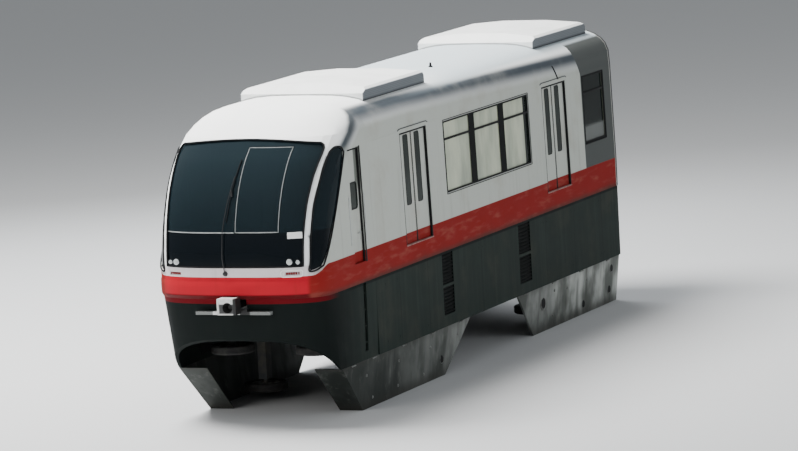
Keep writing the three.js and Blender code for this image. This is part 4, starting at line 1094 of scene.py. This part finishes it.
# The partition's panes are opaque near-black glass, painted shade standing in for the dim saloon behind them.
partition_glass = bmesh.new()
for y0, y1 in ((-1.178, -0.182), (0.862, 1.198)):
    brick(partition_glass, (4.664, y0, 1.902), (4.676, y1, 3.048))
soften(partition_glass, 0.002, 1)
piece("partition_glass", partition_glass, door_glass)

desk_black = Finish("desk_black", Roughness=0.6)
desk_grain = desk_black.place.cloud(110.0, 2.0)
desk_black.set(Base_Color=(desk_grain * 0.5).mix((0.020, 0.021, 0.022), (0.040, 0.041, 0.042)))
desk_black.bump(desk_grain, 0.15, 0.001)
dress(desk_black, "driver_desk")
controls = bmesh.new()
for y in (-0.98, -0.90, -0.82, -0.30, -0.22, -0.14):
    for x in (6.20, 6.30):
        z = 1.86 + 0.0702 * (x - 6.12) / 0.30 + 0.002
        rod(controls, (x, y, z - 0.01), (x, y, z + 0.018), 0.014, segments=14)
rod(controls, (6.22, -0.74, 1.87), (6.20, -0.74, 1.975), 0.014, segments=14)
ball = bmesh.ops.create_uvsphere(controls, u_segments=18, v_segments=10, radius=0.028)
bmesh.ops.translate(controls, verts=ball["verts"], vec=(6.20, -0.74, 1.98))
brick(controls, (6.38, -0.70, 1.915), (6.40, -0.42, 2.06))
brick(controls, (6.25, -0.68, 1.885), (6.37, -0.44, 1.905))
soften(controls, 0.003, 1)
piece("desk_controls", controls, pale_metal)


# The seats are moulded grey shells that carry padded cushions of blue cloth, one pad for each person.
# Each pad is foam in a sewn cover, fuller in the middle, with a piped seam round its edge.
def plumped(size, bulge, cells=11):
    """A block of cloth blown out by the foam inside it, brought back to its real size."""
    bm = bmesh.new()
    bmesh.ops.create_cube(bm, size=1.0)
    bmesh.ops.subdivide_edges(bm, edges=bm.edges, cuts=cells, use_grid_fill=True)
    unblown = Matrix.Diagonal((*[length * 0.94 for length in size], 1.0))
    bmesh.ops.transform(bm, matrix=unblown, verts=bm.verts)
    mesh = bpy.data.meshes.new("pad_cover")
    bm.to_mesh(mesh)
    bm.free()
    start = [vert.co.copy() for vert in mesh.vertices]
    pad = placed("pad_cover", mesh)
    cloth = pad.modifiers.new("cover", "CLOTH").settings
    cloth.effector_weights.gravity = 0.0
    cloth.use_pressure = True
    cloth.uniform_pressure_force = 4.0
    cloth.quality = 6
    cloth.tension_stiffness = 25.0
    cloth.compression_stiffness = 25.0
    for moment in range(1, 21):
        bpy.context.scene.frame_set(moment)
    blown = bpy.data.meshes.new_from_object(pad.evaluated_get(bpy.context.evaluated_depsgraph_get()))
    moved = [vert.co.copy() for vert in blown.vertices]
    bpy.data.objects.remove(pad)
    bpy.context.scene.frame_set(1)
    for vert, before, after in zip(mesh.vertices, start, moved):
        step = after - before
        vert.co = before + step * min(1.0, bulge / max(step.length, 1e-6))
    low = [min(vert.co[k] for vert in mesh.vertices) for k in range(3)]
    high = [max(vert.co[k] for vert in mesh.vertices) for k in range(3)]
    for vert in mesh.vertices:
        vert.co = [(vert.co[k] - low[k]) / (high[k] - low[k]) * size[k] - size[k] / 2 for k in range(3)]
    return mesh


def pads(name, cover, places):
    """One mesh of like pads, each turned and set in its place."""
    bm = bmesh.new()
    for place in places:
        count = len(bm.verts)
        bm.from_mesh(cover)
        bm.verts.ensure_lookup_table()
        bmesh.ops.transform(bm, matrix=place, verts=bm.verts[count:])
    bmesh.ops.subdivide_edges(bm, edges=bm.edges, cuts=1, smooth=0.6, use_grid_fill=True)
    made = piece(name, bm, seat_cloth)


seat_cloth = Finish("seat_cloth", Roughness=0.92)
threads = [(way * 1400.0).math("SINE") for way in (seat_cloth.x, seat_cloth.y, seat_cloth.z)]
threads = threads[0] + threads[1] + threads[2]
cloth_tone = seat_cloth.place.cloud(7.0, 4.0)
seat_cloth.set(Base_Color=(cloth_tone * 0.8).mix((0.040, 0.095, 0.200), (0.070, 0.150, 0.270)))
seat_cloth.bump(threads * 0.2 + cloth_tone * 0.3, 0.35, 0.002)
piping = Finish("piping", Base_Color=(0.025, 0.055, 0.115), Roughness=0.85)
shell_grey = Finish("shell_grey", Roughness=0.55)
shell_grey.set(Base_Color=(shell_grey.place.cloud(6.0) * 0.3).mix((0.32, 0.33, 0.33), (0.24, 0.245, 0.24)))
seat_pad = plumped((0.478, 0.385, 0.085), 0.016)
back_pad = plumped((0.478, 0.050, 0.440), 0.012)
middles = [-2.472 + (k + 0.5) * 0.4805 for k in range(8)]
bench_rear, bench_front = -2.660, 1.220
for side, hand in HANDS:
    seat_lean = Matrix.Rotation(side * 0.04, 4, "X")
    back_lean = Matrix.Rotation(-side * 0.105, 4, "X")
    seats = [Matrix.Translation((x, side * 1.128, 1.487)) @ seat_lean for x in middles]
    backs = [Matrix.Translation((x, side * 1.283, 1.790)) @ back_lean for x in middles]
    pads("bench_seats_" + hand, seat_pad, seats)
    pads("bench_backs_" + hand, back_pad, backs)
    lines = []
    for middle in middles:
        loop = rounded_loop(middle - 0.239, middle + 0.239, 0.9365, 1.3195, 0.02, 3)
        lines.append([(x, side * y, 1.489 + 0.04 * (y - 1.128)) for x, y in loop])
    beads("bench_piping_" + hand, lines, 0.006, piping, resolution=1)
    shell = bmesh.new()
    for y0, y1, z0, z1 in ((0.935, 1.348, 1.405, 1.446), (1.300, 1.348, 1.446, 1.560),
                           (1.130, 1.250, 1.135, 1.405)):
        brick(shell, (bench_rear, side * y0, z0), (bench_front, side * y1, z1))
    for x in (-2.652, 1.186):
        brick(shell, (x, side * 0.935, 1.30), (x + 0.034, side * 1.348, 1.72))
    soften(shell, 0.008, 3)
    base = piece("bench_shell_" + hand, shell, shell_grey)
    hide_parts("bench_" + hand)

pan_pad = plumped((0.450, 0.450, 0.100), 0.016)
rest_pad = plumped((0.085, 0.420, 0.640), 0.016)
back_place = Matrix.Translation((5.096, -0.480, 1.985)) @ Matrix.Rotation(-0.118, 4, "Y")
pads("driver_seat_pan", pan_pad, [Matrix.Translation((5.310, -0.480, 1.605))])
pads("driver_seat_back", rest_pad, [back_place])
stand = bmesh.new()
brick(stand, (5.12, -0.64, 1.133), (5.48, -0.32, 1.160))
rod(stand, (5.30, -0.48, 1.158), (5.30, -0.48, 1.40), 0.060, segments=28)
rod(stand, (5.30, -0.48, 1.38), (5.30, -0.48, 1.535), 0.040, segments=28)
brick(stand, (5.11, -0.68, 1.530), (5.51, -0.28, 1.556))
brick(stand, (5.045, -0.52, 1.56), (5.075, -0.44, 1.80))
soften(stand, 0.008, 2, 0.9)
seat_stand = piece("driver_seat_stand", stand, desk_black)
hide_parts("driver_seat")


# Polished poles and rails run from floor to ceiling at the doorways and along the ceiling, and two long
# lamps light the saloon.
poles = bmesh.new()
pole_y, ceiling_rail_z = 0.86, 2.98
for x in (3.42, 2.08, -3.39, -4.73):
    for y in (pole_y, -pole_y):
        rod(poles, (x, y, 1.131), (x, y, 3.40), 0.017, segments=14)
for y in (pole_y, -pole_y):
    rod(poles, (1.95, y, ceiling_rail_z), (-3.30, y, ceiling_rail_z), 0.016, segments=14)
    for x in (1.2, 0.1, -1.0, -2.1):
        rod(poles, (x, y, ceiling_rail_z), (x, y, 3.41), 0.012, segments=12)
piece("grab_poles", poles, pale_metal)
ceiling_light = Finish("ceiling_light", Base_Color=(0.9, 0.9, 0.88), Roughness=0.4)
ceiling_light.set(Emission_Color=(1.0, 0.97, 0.90), Emission_Strength=0.6)
lamps = bmesh.new()
for side in (1, -1):
    for x in (2.9, 0.9, -1.1, -3.1, -5.1):
        brick(lamps, (x - 0.95, side * 0.45 - 0.07, 3.385), (x + 0.75, side * 0.45 + 0.07, 3.418))
soften(lamps, 0.010, 3)
piece("ceiling_lamps", lamps, ceiling_light)
